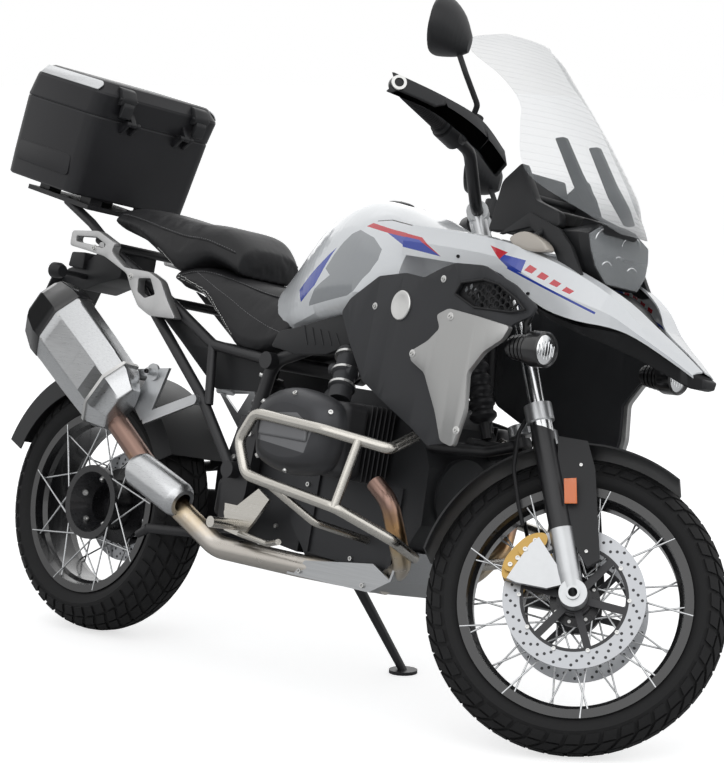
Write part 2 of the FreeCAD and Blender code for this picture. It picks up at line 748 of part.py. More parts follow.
def crash_bar():
    """The right engine guard of bent steel tube with its stays."""
    r = 12.5
    loop = tube([(330, -128, 640), (300, -330, 585), (70, -352, 592), (12, -330, 540), (60, -345, 474), (300, -352, 448),
                 (420, -300, 404), (372, -128, 340)], r, 60)
    stay = rod((316, -342, 588), (302, -350, 448), 10)
    brace = tube([(150, -346, 464), (230, -260, 400), (250, -128, 372)], 9, 40)
    return joined([loop, stay, brace])


def skid_plate():
    """The folded plate under the engine, turned up at its nose."""
    skin = [(40, 262), (300, 262), (360, 296), (380, 366), (374, 368), (355, 300), (298, 267), (40, 267)]
    plate = prism(skin, -140, 140)
    sides = []
    for y in (-140, 134):
        sides.append(prism([(60, 264), (299, 264), (357, 298), (300, 326), (90, 300)], y, y + 6))
    return joined([plate] + sides)


def beak():
    """The white beak: two upper blades that meet at the nose."""
    stations = (
        (430, 196, 206, 1058, 1020),
        (560, 186, 196, 1036, 950),
        (700, 150, 162, 992, 910),
        (840, 100, 112, 945, 890),
        (960, 54, 66, 872, 850),
    )
    wires = []
    for x, inner, outer, top, low in stations:
        wires.append(closed([(x, -inner + 30, top), (x, -outer + 12, top - 4), (x, -outer, (top + low) / 2), (x, -outer + 10, low),
                             (x, -inner + 14, low), (x, -inner + 4, (top + low) / 2), (x, -inner + 24, top - 6)]))
    return loft(wires, True)


def beak_nose():
    """The dark under-beak that carries the white blades."""
    stations = (
        (600, 150, 920, 900),
        (760, 120, 928, 890),
        (880, 84, 905, 862),
        (1000, 34, 836, 815),
    )
    wires = []
    for x, half, top, low in stations:
        wires.append(closed([(x, -half, (top + low) / 2), (x, -half * 0.5, top), (x, half * 0.5, top), (x, half, (top + low) / 2),
                             (x, half * 0.6, low), (x, -half * 0.6, low)]))
    return loft(wires, True)


shroud_plan = [(140, -186), (300, -226), (450, -256), (600, -266), (700, -256), (770, -232)]
shroud_wall = 9.0
silver_wall = 12.0


def shroud():
    """The dark right shroud that frames the radiator's air duct."""
    outline = [(150, 870), (200, 955), (330, 972), (420, 952), (480, 990), (560, 1000), (640, 984), (736, 928),
               (700, 898), (520, 896), (440, 880), (420, 800), (500, 640), (512, 606), (450, 640), (330, 780), (170, 840)]
    return draped(outline, shroud_plan, shroud_wall)


def silver_panel():
    """The silver panel that lies on the shroud."""
    outline = [(488, 884), (523, 894), (693, 877), (643, 830), (600, 770), (612, 694), (592, 614), (556, 622),
               (530, 690), (463, 772), (398, 812), (440, 850)]
    plan = [(x, y - silver_wall) for x, y in shroud_plan]
    return draped(outline, plan, silver_wall)


def cockpit():
    """The instrument carrier and the cowl behind the screen's foot."""
    wires = []
    for x, half, top, low in ((470, 70, 1236, 1120), (540, 96, 1230, 1100), (640, 104, 1170, 1060), (740, 84, 1128, 1010)):
        wires.append(closed([(x, -half, (top + low) / 2), (x, -half * 0.7, top), (x, half * 0.7, top), (x, half, (top + low) / 2),
                             (x, half * 0.7, low), (x, -half * 0.7, low)]))
    return loft(wires, True)


def headlamp():
    """The twin headlamp's housing, tapered to its lens."""
    wires = []
    for x, half, top, low in ((600, 90, 1052, 985), (690, 116, 1104, 978), (760, 104, 1086, 982), (800, 84, 1060, 992)):
        wires.append(curved([(x, -half, (top + low) / 2), (x, -half * 0.6, top), (x, half * 0.6, top), (x, half, (top + low) / 2),
                             (x, half * 0.55, low), (x, -half * 0.55, low)]))
    return loft(wires)


def windscreen():
    """A curved clear screen of even thickness."""
    rows = ((748, 1128, 92, 46), (668, 1216, 140, 78), (560, 1325, 186, 92), (455, 1425, 178, 76), (380, 1496, 140, 46), (338, 1532, 70, 12))
    wires = []
    for x, z, half, sag in rows:
        bend = (half * half + sag * sag) / (2 * sag)
        reach = math.asin(half / bend)
        centre = V(x - bend, 0, z)
        outer = [V(math.cos(a), math.sin(a), 0) * bend + centre for a in (-reach, 0, reach)]
        inner = [V(math.cos(a), math.sin(a), 0) * (bend - screen_wall) + centre for a in (reach, 0, -reach)]
        wires.append(Part.Wire([Part.Arc(*outer).toShape(), Part.LineSegment(outer[2], inner[0]).toShape(),
                                Part.Arc(*inner).toShape(), Part.LineSegment(inner[2], outer[0]).toShape()]))
    return loft(wires)


def fog_lamp():
    """A round auxiliary lamp on its stalk from the shroud."""
    body = spun([(0, -34), (18, -32), (30, -12), (32, 24), (29, 30), (0, 30)], (700, -212, 838), (1, 0, 0))
    stalk = tube([(690, -212, 860), (672, -212, 885), (640, -225, 895)], 8, 12)
    return joined([body, stalk])


def side_cover():
    """The cover between tank and seat on the right."""
    outline = [(-70, 862), (60, 862), (150, 870), (140, 760), (20, 700), (-110, 745), (-80, 790)]
    return prism(outline, -168, -150)


seat_outline = [(-240, 892), (-330, 880), (-420, 896), (-490, 905), (-500, 862), (-420, 800), (-240, 752), (-90, 768), (-72, 860), (-150, 885)]


def rider_seat():
    stations = (
        (-495, [(0, 1020), (90, 1012), (142, 960), (140, 900), (0, 880)]),
        (-420, [(0, 1028), (100, 1018), (162, 950), (150, 850), (0, 826)]),
        (-350, [(0, 960), (110, 950), (170, 905), (160, 820), (0, 792)]),
        (-260, [(0, 898), (100, 892), (160, 860), (150, 790), (0, 776)]),
        (-150, [(0, 888), (70, 882), (110, 850), (100, 785), (0, 772)]),
    )
    return ribbed(stations)


def passenger_seat():
    stations = (
        (-790, [(0, 1062), (80, 1058), (118, 1030), (110, 1005), (0, 992)]),
        (-700, [(0, 1062), (100, 1056), (140, 1022), (126, 980), (0, 960)]),
        (-590, [(0, 1044), (108, 1036), (150, 1000), (136, 935), (0, 912)]),
        (-505, [(0, 1012), (104, 1004), (148, 965), (136, 900), (0, 872)]),
    )
    return ribbed(stations)


def grab_handle():
    """The right grab handle and its rack arm."""
    loop = tube([(-545, -128, 856), (-640, -172, 893), (-790, -182, 930), (-862, -165, 975), (-812, -122, 968)], 13, 40)
    return loop


# Top case, drawn level at its front lower edge and then tilted
case_foot = V(-861, 0, 1068)


def case_place(shape):
    copy = shape.copy()
    copy.rotate(V(0, 0, 0), V(0, 1, 0), case_tilt_deg)
    copy.translate(case_foot)
    return copy


def case_shell(z0, z1, open_top):
    """A tapered tub or lid whose floor or roof is one wall thick."""
    def block(inset):
        low = z0 + (inset if open_top else -1 if inset else 0)
        high = z1 - (0 if open_top else inset) + (1 if open_top and inset else 0)
        half = case_width / 2 - inset
        wires = []
        for z in (low, high):
            flare = 12.0 * (z / (case_tub_height + case_lid_height))
            wires.append(closed([(-inset + flare, -half, z), (-inset + flare, half, z),
                                 (-case_length + inset, half, z), (-case_length + inset, -half, z)]))
        solid = loft(wires, True)
        upright = [e for e in solid.Edges if abs(e.tangentAt(e.FirstParameter).z) > 0.5]
        return solid.makeFillet(max(26.0 - inset, 4.0), upright)
    return block(0).cut(block(case_wall))


hinge_x = 19.0
hinge_ys = (-92.0, 92.0)
hinge_pin = 3.0
knuckle_radius = 7.0
knuckle_half = 9.0
hinge_z = case_tub_height + lid_seam / 2


def knuckle(y0, y1, low, high):
    """A stretch of hinge barrel with its web to the case's front face."""
    barrel = rod((hinge_x, y0, hinge_z), (hinge_x, y1, hinge_z), knuckle_radius)
    web = Part.makeBox(hinge_x - 4, y1 - y0, high - low, V(4, y0, low))
    return [barrel, web]


def case_tub():
    """The tub with its hinge knuckles and pins on the front face."""
    pieces = [case_shell(0, case_tub_height, True)]
    for y in hinge_ys:
        for y0, y1 in ((y - 22, y - knuckle_half - 0.5), (y + knuckle_half + 0.5, y + 22)):
            pieces += knuckle(y0, y1, case_tub_height - 34, case_tub_height)
        pieces.append(rod((hinge_x, y - 22, hinge_z), (hinge_x, y + 22, hinge_z), hinge_pin))
    solid = joined(pieces)
    hollow_core = Part.makeBox(case_length - 30, case_width - 30, case_tub_height, V(-case_length + 15, -case_width / 2 + 15, case_wall))
    return case_place(solid.cut(hollow_core))


def case_lid():
    """The lid with its two knuckles round the pins."""
    base = case_tub_height + lid_seam
    pieces = [case_shell(base, base + case_lid_height, False)]
    for y in hinge_ys:
        pieces += knuckle(y - knuckle_half, y + knuckle_half, base, base + 30)
    solid = joined(pieces)
    inside = Part.makeBox(case_length - 30, case_width - 30, case_lid_height - case_wall, V(-case_length + 15, -case_width / 2 + 15, base))
    solid = solid.cut(inside)
    for y in hinge_ys:
        solid = solid.cut(rod((hinge_x, y - 60, hinge_z), (hinge_x, y + 60, hinge_z), hinge_pin + hinge_fit))
    return case_place(solid)


def case_carrier():
    """The rack plate under the case on its posts from the subframe."""
    plate = Part.makeBox(250, 260, 12, V(-270, -130, -30))
    pads = [Part.makeBox(40, 40, 18, V(x, y, -18)) for x in (-250, -80) for y in (-110, 70)]
    top = case_place(joined([plate] + pads))
    posts = []
    for y in (-1, 1):
        posts.append(tube([(-800, y * 118, 966), (-880, y * 110, 1010), (-1000, y * 100, 1062)], 12, 40))
    return joined([top] + posts)


def tail():
    """The plate holder, tail lamp and indicators under the rack."""
    holder = prism([(-800, 960), (-900, 950), (-960, 880), (-1120, 800), (-1130, 790), (-950, 740), (-900, 740), (-880, 850), (-800, 880)], -62, 62)
    plate = prism([(-1135, 800), (-1050, 770), (-1052, 764), (-1140, 794)], -90, 90)
    lamp = rounded_box(-990, -930, -70, 70, 900, 940, 8)
    pieces = [holder, lamp]
    for y in (-1, 1):
        pieces.append(rod((-935, y * 50, 850), (-935, y * 130, 850), 7))
        pieces.append(rod((-955, y * 145, 850), (-915, y * 145, 850), 20))
        pieces.append(rod((-935, y * 120, 850), (-935, y * 140, 850), 9))
    return joined(pieces)


def rear_hugger():
    """The guard close over the rear tyre, held by the swing arm."""
    inner, outer = rear_radius + 14, rear_radius + 18
    ring = spun([(outer, -92), (outer, 92), (inner - 50, 98), (inner - 50, 94), (inner, 88), (inner, -88), (inner - 50, -94), (inner - 50, -98)], rear_axle)
    fan = [(rear_axle.x, rear_axle.z)]
    for k in range(6):
        a = math.radians(28 + 132 * k / 5)
        fan.append((rear_axle.x + 520 * math.cos(a), rear_axle.z + 520 * math.sin(a)))
    guard = ring.common(prism(fan, -120, 120))
    stay = prism([(-488, 486), (-446, 486), (-452, 400), (-482, 400)], 91, 112)
    return joined([guard, stay])


def footrest():
    """The rider's right peg on its bracket with the heel guard."""
    plate = prism([(-150, 330), (-90, 322), (-60, 360), (-20, 420), (-60, 440), (-120, 392), (-162, 392)], -176, -168)
    mount = rod((-146, -142, 372), (-146, -176, 372), 14)
    peg = rod((-110, -176, 348), (-110, -262, 348), 13)
    return joined([plate, mount, peg])


def pedal():
    """The brake pedal's arm on the right."""
    return tube([(-90, -182, 330), (20, -196, 322), (88, -232, 334)], 7, 30)


bobbin_x = -480.0
bobbin_y = 176.0
bobbin_z = 664.0
bobbin_radius = 9.0
bobbin_neck = 24.0


def passenger_footrest():
    """The silver triangular hanger with its folded peg and luggage bobbin."""
    outside = -bobbin_y
    plate = prism([(-620, 655), (-430, 680), (-470, 560), (-500, 545), (-560, 600)], outside, outside + 8)
    window = prism([(-590, 642), (-500, 652), (-530, 600)], outside - 20, outside + 20)
    arm = prism([(-500, 560), (-330, 628), (-322, 606), (-490, 536)], outside, outside + 8)
    posts = [rod((-330, outside + 34, 616), (-330, outside, 616), 12), rod((-566, outside + 50, 650), (-566, outside, 650), 10)]
    neck = rod((bobbin_x, outside, bobbin_z), (bobbin_x, outside - bobbin_neck, bobbin_z), bobbin_radius)
    collar = rod((bobbin_x, outside, bobbin_z), (bobbin_x, outside - 6, bobbin_z), bobbin_radius + 12)
    return joined([plate.cut(window), arm, neck, collar] + posts)


# Stands
side_pivot = V(-20, 142, 268)
side_foot_xy = (78.0, 268.0)


# Placement
def height_of(point, axle, crown, radius):
    """How far a wheel's centre stands above the ground it touches."""
    tilt = math.asin(abs(axle.z))
    return (radius - crown) * math.cos(tilt) + crown


steer_turn = FreeCAD.Rotation(steer_dir, steer_deg)


def steered_point(p):
    return steer_ground + steer_turn.multVec(p - steer_ground)


def attitude(pitch_deg):
    return FreeCAD.Rotation(V(1, 0, 0), -lean_deg).multiply(FreeCAD.Rotation(V(0, 1, 0), pitch_deg))


def wheel_gaps(pitch_deg):
    """How high each wheel hangs over its resting height at this pitch."""
    turn = attitude(pitch_deg)
    front = turn.multVec(steered_point(front_axle))
    rear = turn.multVec(rear_axle)
    front_axis = turn.multVec(steer_turn.multVec(V(0, 1, 0)))
    rear_axis = turn.multVec(V(0, 1, 0))
    return (front.z - height_of(front, front_axis, front_crown, front_radius),
            rear.z - height_of(rear, rear_axis, rear_crown, rear_radius))


def level_pitch():
    """The pitch at which both tyres meet the ground."""
    low, high = -10.0, 10.0
    for _ in range(60):
        middle = (low + high) / 2
        front, rear = wheel_gaps(middle)
        if front > rear:
            low = middle
        else:
            high = middle
    return (low + high) / 2


pitch = level_pitch()
parked = attitude(pitch)
drop = wheel_gaps(pitch)[1]


def to_ground_frame(p):
    q = parked.multVec(V(*p))
    return V(q.x, q.y, q.z - drop)


def from_ground_frame(p):
    return parked.inverted().multVec(V(p[0], p[1], p[2] + drop))


def ground_under(x, y):
    """The bike-frame point on the ground plane with this x and y."""
    a = to_ground_frame((x, y, 0))
    b = to_ground_frame((x, y, 100))
    return V(x, y, 100 * a.z / (a.z - b.z))


side_foot = ground_under(*side_foot_xy)
side_fold_dir = V(-250, 70, 24)
side_axis = unit((side_foot - side_pivot).cross(side_fold_dir))


def side_stand():
    """The leg, its pivot eye and a foot pad flat on the ground."""
    ankle = side_foot + V(0, 0, stand_foot_thick / 2)
    leg = rod(side_pivot, ankle, stand_tube, stand_tube - 3)
    eye = rod(side_pivot - side_axis * stand_eye_half, side_pivot + side_axis * stand_eye_half, 20)
    eye_hole = rod(side_pivot - side_axis * 60, side_pivot + side_axis * 60, stand_pin + hinge_fit)
    up = unit(from_ground_frame((0, 0, 1)) - from_ground_frame((0, 0, 0)))
    pad = Part.makeCylinder(stand_foot_radius, stand_foot_thick, side_foot, up)
    below = Part.makeCylinder(400, 200, side_foot - up * 200, up)
    return joined([leg, eye, pad]).cut(eye_hole).cut(below)


def stand_bracket():
    """The forked lug on the engine that carries the side stand's pin."""
    up = unit(V(0, 0, 1) - side_axis * side_axis.z)
    across = side_axis.cross(up)
    inside = stand_eye_half + 0.5

    def slab(u0, u1, a0, a1):
        corners = [(u0, -16), (u1, -16), (u1, 16), (u0, 16)]
        base = [tuple(side_pivot + up * u + across * w + side_axis * a0) for u, w in corners]
        return Part.Face(closed(base)).extrude(side_axis * (a1 - a0))
    pieces = [rod(side_pivot - side_axis * 26, side_pivot + side_axis * 26, stand_pin)]
    for a0, a1 in ((inside, inside + 9), (-inside - 9, -inside)):
        pieces.append(rod(side_pivot + side_axis * a0, side_pivot + side_axis * a1, 16))
        pieces.append(slab(0, 90, a0, a1))
    pieces.append(slab(34, 90, -inside - 9, inside + 9))
    return joined(pieces)


centre_pivot = V(-190, 0, 350)
centre_half = 74.0
centre_tube = 12.0
centre_pin = 8.0


def centre_stand():
    """The folded centre stand: two legs, a cross tube and curved feet."""
    x, z = centre_pivot.x, centre_pivot.z
    pieces = [rod((x, -centre_half - 14, z), (x, centre_half + 14, z), centre_tube + 3)]
    for y in (-1, 1):
        leg = [(x, y * centre_half, z), (-320, y * (centre_half + 24), 304), (-470, y * (centre_half + 44), 290)]
        pieces.append(tube(leg, centre_tube, 40))
        pieces.append(rod(leg[2], (-502, y * (centre_half + 46), 270), centre_tube, 9))
    pieces.append(rod((-262, -centre_half, 324), (-262, centre_half, 324), 9))
    return joined(pieces).cut(rod((x, -200, z), (x, 200, z), centre_pin + hinge_fit))


# Assembly
engine = engine_block()
frame = trimmed(main_frame(), [engine])
stand_lug = trimmed(stand_bracket(), [engine, frame])
cylinders = [trimmed(s, [engine, frame]) for s in pair(cylinder())]
covers = pair(valve_cover())
arm = trimmed(front_arm(), [engine, frame])
rear_arm = trimmed(swing_arm(), [engine, frame])
rear_frame = trimmed(subframe(), [engine, frame, rear_arm])
struts = [trimmed(s, [engine, frame, arm, rear_arm, rear_frame]) for s in shocks()]
pipes = []
for pipe in reversed(exhaust()):
    pipes.append(trimmed(pipe, [engine, frame, rear_arm, rear_frame] + cylinders + pipes))

can = trimmed(silencer(), [rear_frame] + pipes)
bash = trimmed(skid_plate(), [engine, frame] + pipes)
bars = [trimmed(s, [engine, frame, bash] + cylinders + covers + pipes) for s in pair(crash_bar())]
fuel_tank = trimmed(tank(), [engine, frame, arm, rear_frame] + struts)

nodes = {}


def add(name, shapes, steered=False):
    """Keeps a node's solids, turned with the steering where they steer."""
    solids = shapes if isinstance(shapes, list) else [shapes]
    solids = [s for shape in solids for s in shape.Solids]
    nodes[name] = (solids, steered)


add("engine", engine)
add("frame", [frame, stand_lug])
add("cylinders", cylinders)
add("valve_covers", covers)
add("front_wishbone", arm)
add("swing_arm", rear_arm)
add("subframe", rear_frame)
add("shocks", struts)
add("exhaust_pipes", pipes)
add("silencer", can)
add("skid_plate", bash)
add("crash_bars", bars)
add("tank", fuel_tank)
add("front_tyre", front_tyre, True)
add("front_rim", front_rim, True)
add("front_hub", front_hub(), True)
add("front_discs", front_discs(), True)
add("rear_tyre", rear_tyre)
add("rear_rim", rear_rim)
add("rear_hub", rear_hub())
add("rear_disc", rear_disc())
add("fork_tubes", pair(fork_tube()), True)
add("fork_legs", pair(fork_leg()), True)
add("front_axle", front_axle_tube(), True)
add("front_calipers", pair(caliper()), True)
add("fork_yokes", [top_yoke(), lower_bridge()], True)
add("handlebar", handlebar(), True)
add("controls", pair(grip_set()), True)
add("hand_guards", pair(trimmed(hand_guard(), [grip_set()])), True)
add("mirrors", pair(trimmed(mirror_head(), [grip_set()])), True)
mudguard = front_mudguard()
add("front_mudguard", mudguard, True)
add("fork_covers", pair(trimmed(fork_cover(), [mudguard, fork_leg()])), True)
nose = trimmed(beak_nose(), [frame])
lamp = trimmed(headlamp(), [frame, nose])
cowl = trimmed(cockpit(), [lamp])
blades = [trimmed(s, [frame, nose, lamp, cowl, fuel_tank]) for s in pair(beak())]
shroud_skins = [trimmed(s, [fuel_tank] + blades + cylinders) for s in pair(shroud())]
silver = [trimmed(s, [fuel_tank] + blades + shroud_skins + cylinders) for s in pair(silver_panel())]
add("beak", blades)
add("beak_nose", nose)
add("shrouds", shroud_skins)
add("shroud_panels", silver)
add("cockpit", cowl)
add("headlamp", lamp)
add("windscreen", trimmed(windscreen(), [cowl, lamp]))
add("fog_lamps", [trimmed(s, shroud_skins + silver + blades) for s in pair(fog_lamp())])
cushion = trimmed(rider_seat(), [fuel_tank, rear_frame, frame])
pillion = trimmed(passenger_seat(), [cushion, rear_frame])
side_panels = [trimmed(s, [fuel_tank, frame, rear_frame, cushion]) for s in pair(side_cover())]
handles = [trimmed(s, [rear_frame, cushion, pillion]) for s in pair(grab_handle())]
carrier = trimmed(case_carrier(), [rear_frame, pillion] + handles)
tub = case_tub()
tail_unit = trimmed(tail(), [rear_frame, carrier] + handles)
rests = [trimmed(s, [frame, engine] + pipes) for s in pair(footrest())]
hangers = [trimmed(s, [frame, rear_frame, can] + pipes) for s in pair(passenger_footrest())]
pedal_arms = [trimmed(s, [frame, engine] + rests + pipes) for s in pair(pedal())]
add("side_covers", side_panels)
add("rider_seat", cushion)
add("passenger_seat", pillion)
add("grab_handles", handles)
add("case_tub", tub)
add("case_lid", case_lid())
add("case_carrier", trimmed(carrier, [tub]))
add("tail", tail_unit)
add("rear_hugger", trimmed(rear_hugger(), [rear_frame, rear_arm, can]))
add("brake_hoses", pair(trimmed(brake_hose(), [lower_bridge(), caliper(), fork_leg()])), True)
add("footrests", rests)
add("pedals", pedal_arms)
add("passenger_footrests", hangers)
add("side_stand", side_stand())
add("centre_stand", centre_stand())

# Park it, with the origin at the bottom centre of the whole
steering = FreeCAD.Placement(V(0, 0, 0), steer_turn, steer_ground)
parking = FreeCAD.Placement(V(0, 0, -drop), parked)
placed = {}
for name, (solids, steered) in nodes.items():
    out = []
    for solid in solids:
        copy = solid.copy()
        if steered:
            copy.Placement = steering.multiply(copy.Placement)
        copy.Placement = parking.multiply(copy.Placement)
        out.append(copy)
    placed[name] = out[0] if len(out) == 1 else Part.makeCompound(out)

whole = FreeCAD.BoundBox()
for shape in placed.values():
    whole.add(shape.optimalBoundingBox(False, False))
origin = V(whole.Center.x, whole.Center.y, 0)
for name, shape in placed.items():
    shape.translate(origin * -1)
    shape.exportStep("parts/" + name + ".step")


def row_point(p, steered=False):
    """Where a point of the upright drawing ends up, in metres."""
    q = steered_point(V(*p)) if steered else V(*p)
    return [c / 1000 for c in tuple(to_ground_frame(tuple(q)) - origin)]


def row_axis(d, steered=False):
    """Where a direction of the upright drawing points in the end."""
    q = steer_turn.multVec(V(*d)) if steered else V(*d)
    return list(parked.multVec(q))
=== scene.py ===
import json
import math
import bmesh
import bpy
from mathutils import Matrix, Vector
from mathutils.bvhtree import BVHTree


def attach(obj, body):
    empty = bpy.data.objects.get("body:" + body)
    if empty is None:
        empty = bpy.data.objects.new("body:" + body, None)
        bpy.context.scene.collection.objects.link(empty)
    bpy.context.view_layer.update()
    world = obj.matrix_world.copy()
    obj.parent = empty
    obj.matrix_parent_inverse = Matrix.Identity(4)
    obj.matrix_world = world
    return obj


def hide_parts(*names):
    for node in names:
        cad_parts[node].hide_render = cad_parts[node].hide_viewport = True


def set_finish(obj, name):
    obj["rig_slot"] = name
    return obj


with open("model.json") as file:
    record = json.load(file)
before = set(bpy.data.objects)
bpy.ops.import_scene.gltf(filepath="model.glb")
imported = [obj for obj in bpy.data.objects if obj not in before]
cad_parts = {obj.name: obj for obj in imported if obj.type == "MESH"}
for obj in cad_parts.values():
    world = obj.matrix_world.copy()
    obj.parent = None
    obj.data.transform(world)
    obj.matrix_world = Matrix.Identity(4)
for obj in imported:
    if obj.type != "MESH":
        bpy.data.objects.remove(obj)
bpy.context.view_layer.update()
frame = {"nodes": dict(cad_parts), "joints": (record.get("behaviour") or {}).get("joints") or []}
nodes = frame["nodes"]
joints = {joint["name"]: joint for joint in frame["joints"]}

# Sizes of the upright drawing, in millimetres: +X forward, +Y left, +Z up
FRONT_AXLE = Vector((757, 0, 325))
REAR_AXLE = Vector((-757, 0, 318))
RAKE = math.radians(25.7)


def parked(wheel_joint, axle):
    """The matrix from the upright drawing to the parked motorcycle, for the
    body that carries this wheel."""
    across = Vector(joints[wheel_joint]["axis"]).normalized()
    down_stem = Vector(joints["steering"]["axis"]).normalized()
    up_stem = -down_stem
    ahead = across.cross(up_stem)
    forward = math.cos(RAKE) * ahead - math.sin(RAKE) * up_stem
    upward = math.sin(RAKE) * ahead + math.cos(RAKE) * up_stem
    turn = Matrix((forward, across, upward)).transposed()
    place = Vector(joints[wheel_joint]["pos_m"]) - turn @ (axle * 0.001)
    return Matrix.Translation(place) @ turn.to_4x4() @ Matrix.Scale(0.001, 4)


CHASSIS = parked("rear_wheel_spin", REAR_AXLE)
FORK = parked("front_wheel_spin", FRONT_AXLE)


# Camera, solved from the photograph in the upright drawing
CAMERA_SPOT = Vector((4340, -4510.5, 641.3))
CAMERA_TURN = (133.641, 0.757, 9.741)
FOCAL_PIXELS = 2685.07
FRAME_PIXELS = 763


def aim_camera():
    """The photograph's viewpoint, moved with the parked motorcycle."""
    azimuth, elevation, roll = map(math.radians, CAMERA_TURN)
    view = Vector((math.cos(elevation) * math.cos(azimuth), math.cos(elevation) * math.sin(azimuth),
                   math.sin(elevation)))
    right = view.cross(Vector((0, 0, 1))).normalized()
    up = right.cross(view)
    level_right = math.cos(roll) * right + math.sin(roll) * up
    level_up = math.cos(roll) * up - math.sin(roll) * right
    turn = (CHASSIS.to_3x3() * 1000) @ Matrix((level_right, level_up, -view)).transposed()
    lens = bpy.data.cameras.new("photo_camera")
    lens.lens = 36 * FOCAL_PIXELS / FRAME_PIXELS
    camera = bpy.data.objects.new("photo_camera", lens)
    bpy.context.scene.collection.objects.link(camera)
    camera.matrix_world = Matrix.Translation(CHASSIS @ CAMERA_SPOT) @ turn.to_4x4()
    bpy.context.scene.camera = camera


aim_camera()


# Materials
class Socket:
    """A value in a material that takes Python's arithmetic."""

    def __init__(self, finish, out):
        self.finish = finish
        self.out = out

    def maths(self, operation, *others):
        return self.finish.node("Math", dict(enumerate((self,) + others)), operation=operation)

    def __add__(self, other):
        return self.maths("ADD", other)

    def __sub__(self, other):
        return self.maths("SUBTRACT", other)

    def __rsub__(self, other):
        return self.finish.node("Math", {0: other, 1: self}, operation="SUBTRACT")

    def __mul__(self, other):
        return self.maths("MULTIPLY", other)

    def __truediv__(self, other):
        return self.maths("DIVIDE", other)

    def __gt__(self, other):
        return self.maths("GREATER_THAN", other)

    def __lt__(self, other):
        return self.maths("LESS_THAN", other)

    def within(self, low, high):
        """1 between the two values and 0 outside them."""
        return (self > low) * (self < high)

    __radd__ = __add__
    __rmul__ = __mul__


class Shading:
    """Nodes made from their settings and from what feeds them."""

    def __init__(self, tree):
        self.tree = tree

    def feed(self, slot, value):
        if isinstance(value, Socket):
            self.tree.links.new(value.out, slot)
        elif hasattr(slot.default_value, "__len__") and len(slot.default_value) == 4 and len(value) == 3:
            slot.default_value = (*value, 1)
        else:
            slot.default_value = value

    def node(self, kind, inputs=(), output=0, **settings):
        made = self.tree.nodes.new("ShaderNode" + kind)
        for key, value in settings.items():
            if key == "stops":
                for place, colour in value[1:-1]:
                    made.color_ramp.elements.new(place)
                for stop, (place, colour) in zip(made.color_ramp.elements, value):
                    stop.position = place
                    stop.color = (*colour, 1)
            else:
                setattr(made, key, value)
        for key, value in dict(inputs).items():
            self.feed(made.inputs[key], value)
        return Socket(self, made.outputs[output]) if made.outputs else None


class Finish(Shading):
    """A material under construction."""

    def __init__(self, name, **fixed):
        self.material = bpy.data.materials.new(name)
        self.material.use_nodes = True
        super().__init__(self.material.node_tree)
        self.shader = self.tree.nodes["Principled BSDF"]
        for key, value in fixed.items():
            self.shade(key.replace("_", " "), value)

    def shade(self, name, value):
        self.feed(self.shader.inputs[name], value)

    def place(self):
        return self.node("TexCoord", output=3)

    def upright(self, matrix=CHASSIS):
        """x, y and z of the upright drawing, in millimetres."""
        back = matrix.inverted()
        found = []
        for row in range(3):
            along = self.node("VectorMath", {0: self.place(), 1: tuple(back[row][:3])}, output=1,
                              operation="DOT_PRODUCT")
            found.append(along + back[row][3])
        return found

    def mix(self, share, low, high):
        return self.node("Mix", {0: share, 6: low, 7: high}, output=2, data_type="RGBA")

    def noise(self, scale, detail=3.0, rough=0.5, where=None):
        spot = self.place() if where is None else where
        return self.node("TexNoise", {"Vector": spot, "Scale": scale, "Detail": detail, "Roughness": rough})

    def bump(self, height, distance, strength=1.0):
        self.shade("Normal", self.node("Bump", {"Height": height, "Distance": distance,
                                                "Strength": strength}))

    def tones(self, colour, spread, scale):
        """The colour with slow light and dark patches."""
        light = tuple(c * (1 + spread) + 0.004 * spread for c in colour)
        return self.mix(self.noise(scale, 4), scaled(colour, 1 - spread), light)

    def varnish(self, roughness, coat):
        self.shade("Roughness", self.noise(60, 2) * 0.08 + (roughness - 0.04))
        self.shade("Coat Weight", self.noise(4, 2) * 0.1 + (coat - 0.05))

    def past(self, a, b, matrix=CHASSIS):
        """Millimetres to the left of the line from a to b, drawn in x and z."""
        out = Vector((a[1] - b[1], b[0] - a[0])).normalized()
        back = matrix.inverted()
        row = back[0] * out.x + back[2] * out.y
        along = self.node("VectorMath", {0: self.place(), 1: tuple(row[:3])}, output=1,
                          operation="DOT_PRODUCT")
        return along + (row[3] - out.x * a[0] - out.y * a[1])

    def inside(self, *outlines, matrix=CHASSIS):
        """Depth in millimetres within convex outlines drawn in x and z."""
        deepest = None
        for corners in outlines:
            ends = corners[1:] + corners[:1]
            turn = sum(a[0] * b[1] - b[0] * a[1] for a, b in zip(corners, ends))
            depth = None
            for a, b in zip(corners, ends):
                reach = self.past(a, b, matrix) if turn > 0 else self.past(b, a, matrix)
                depth = reach if depth is None else depth.maths("MINIMUM", reach)
            deepest = depth if deepest is None else deepest.maths("MAXIMUM", depth)
        return deepest

    def reach(self, centre, matrix=CHASSIS):
        """Millimetres from a line across the motorcycle through this centre."""
        x, _, z = self.upright(matrix)
        x, z = x - centre.x, z - centre.z
        return (x * x + z * z).maths("SQRT")


def scaled(colour, share):
    return tuple(c * share for c in colour)


def lacquer(name, colour, roughness=0.25, coat=0.7, metallic=0.0):
    """Sprayed paint under lacquer, with a faint orange-peel."""
    made = Finish(name, Metallic=metallic, Coat_Roughness=0.06)
    made.shade("Base Color", made.tones(colour, 0.03, 3))
    made.varnish(roughness, coat)
    made.bump(made.noise(700, 2), 0.00006, 0.25)
    return made


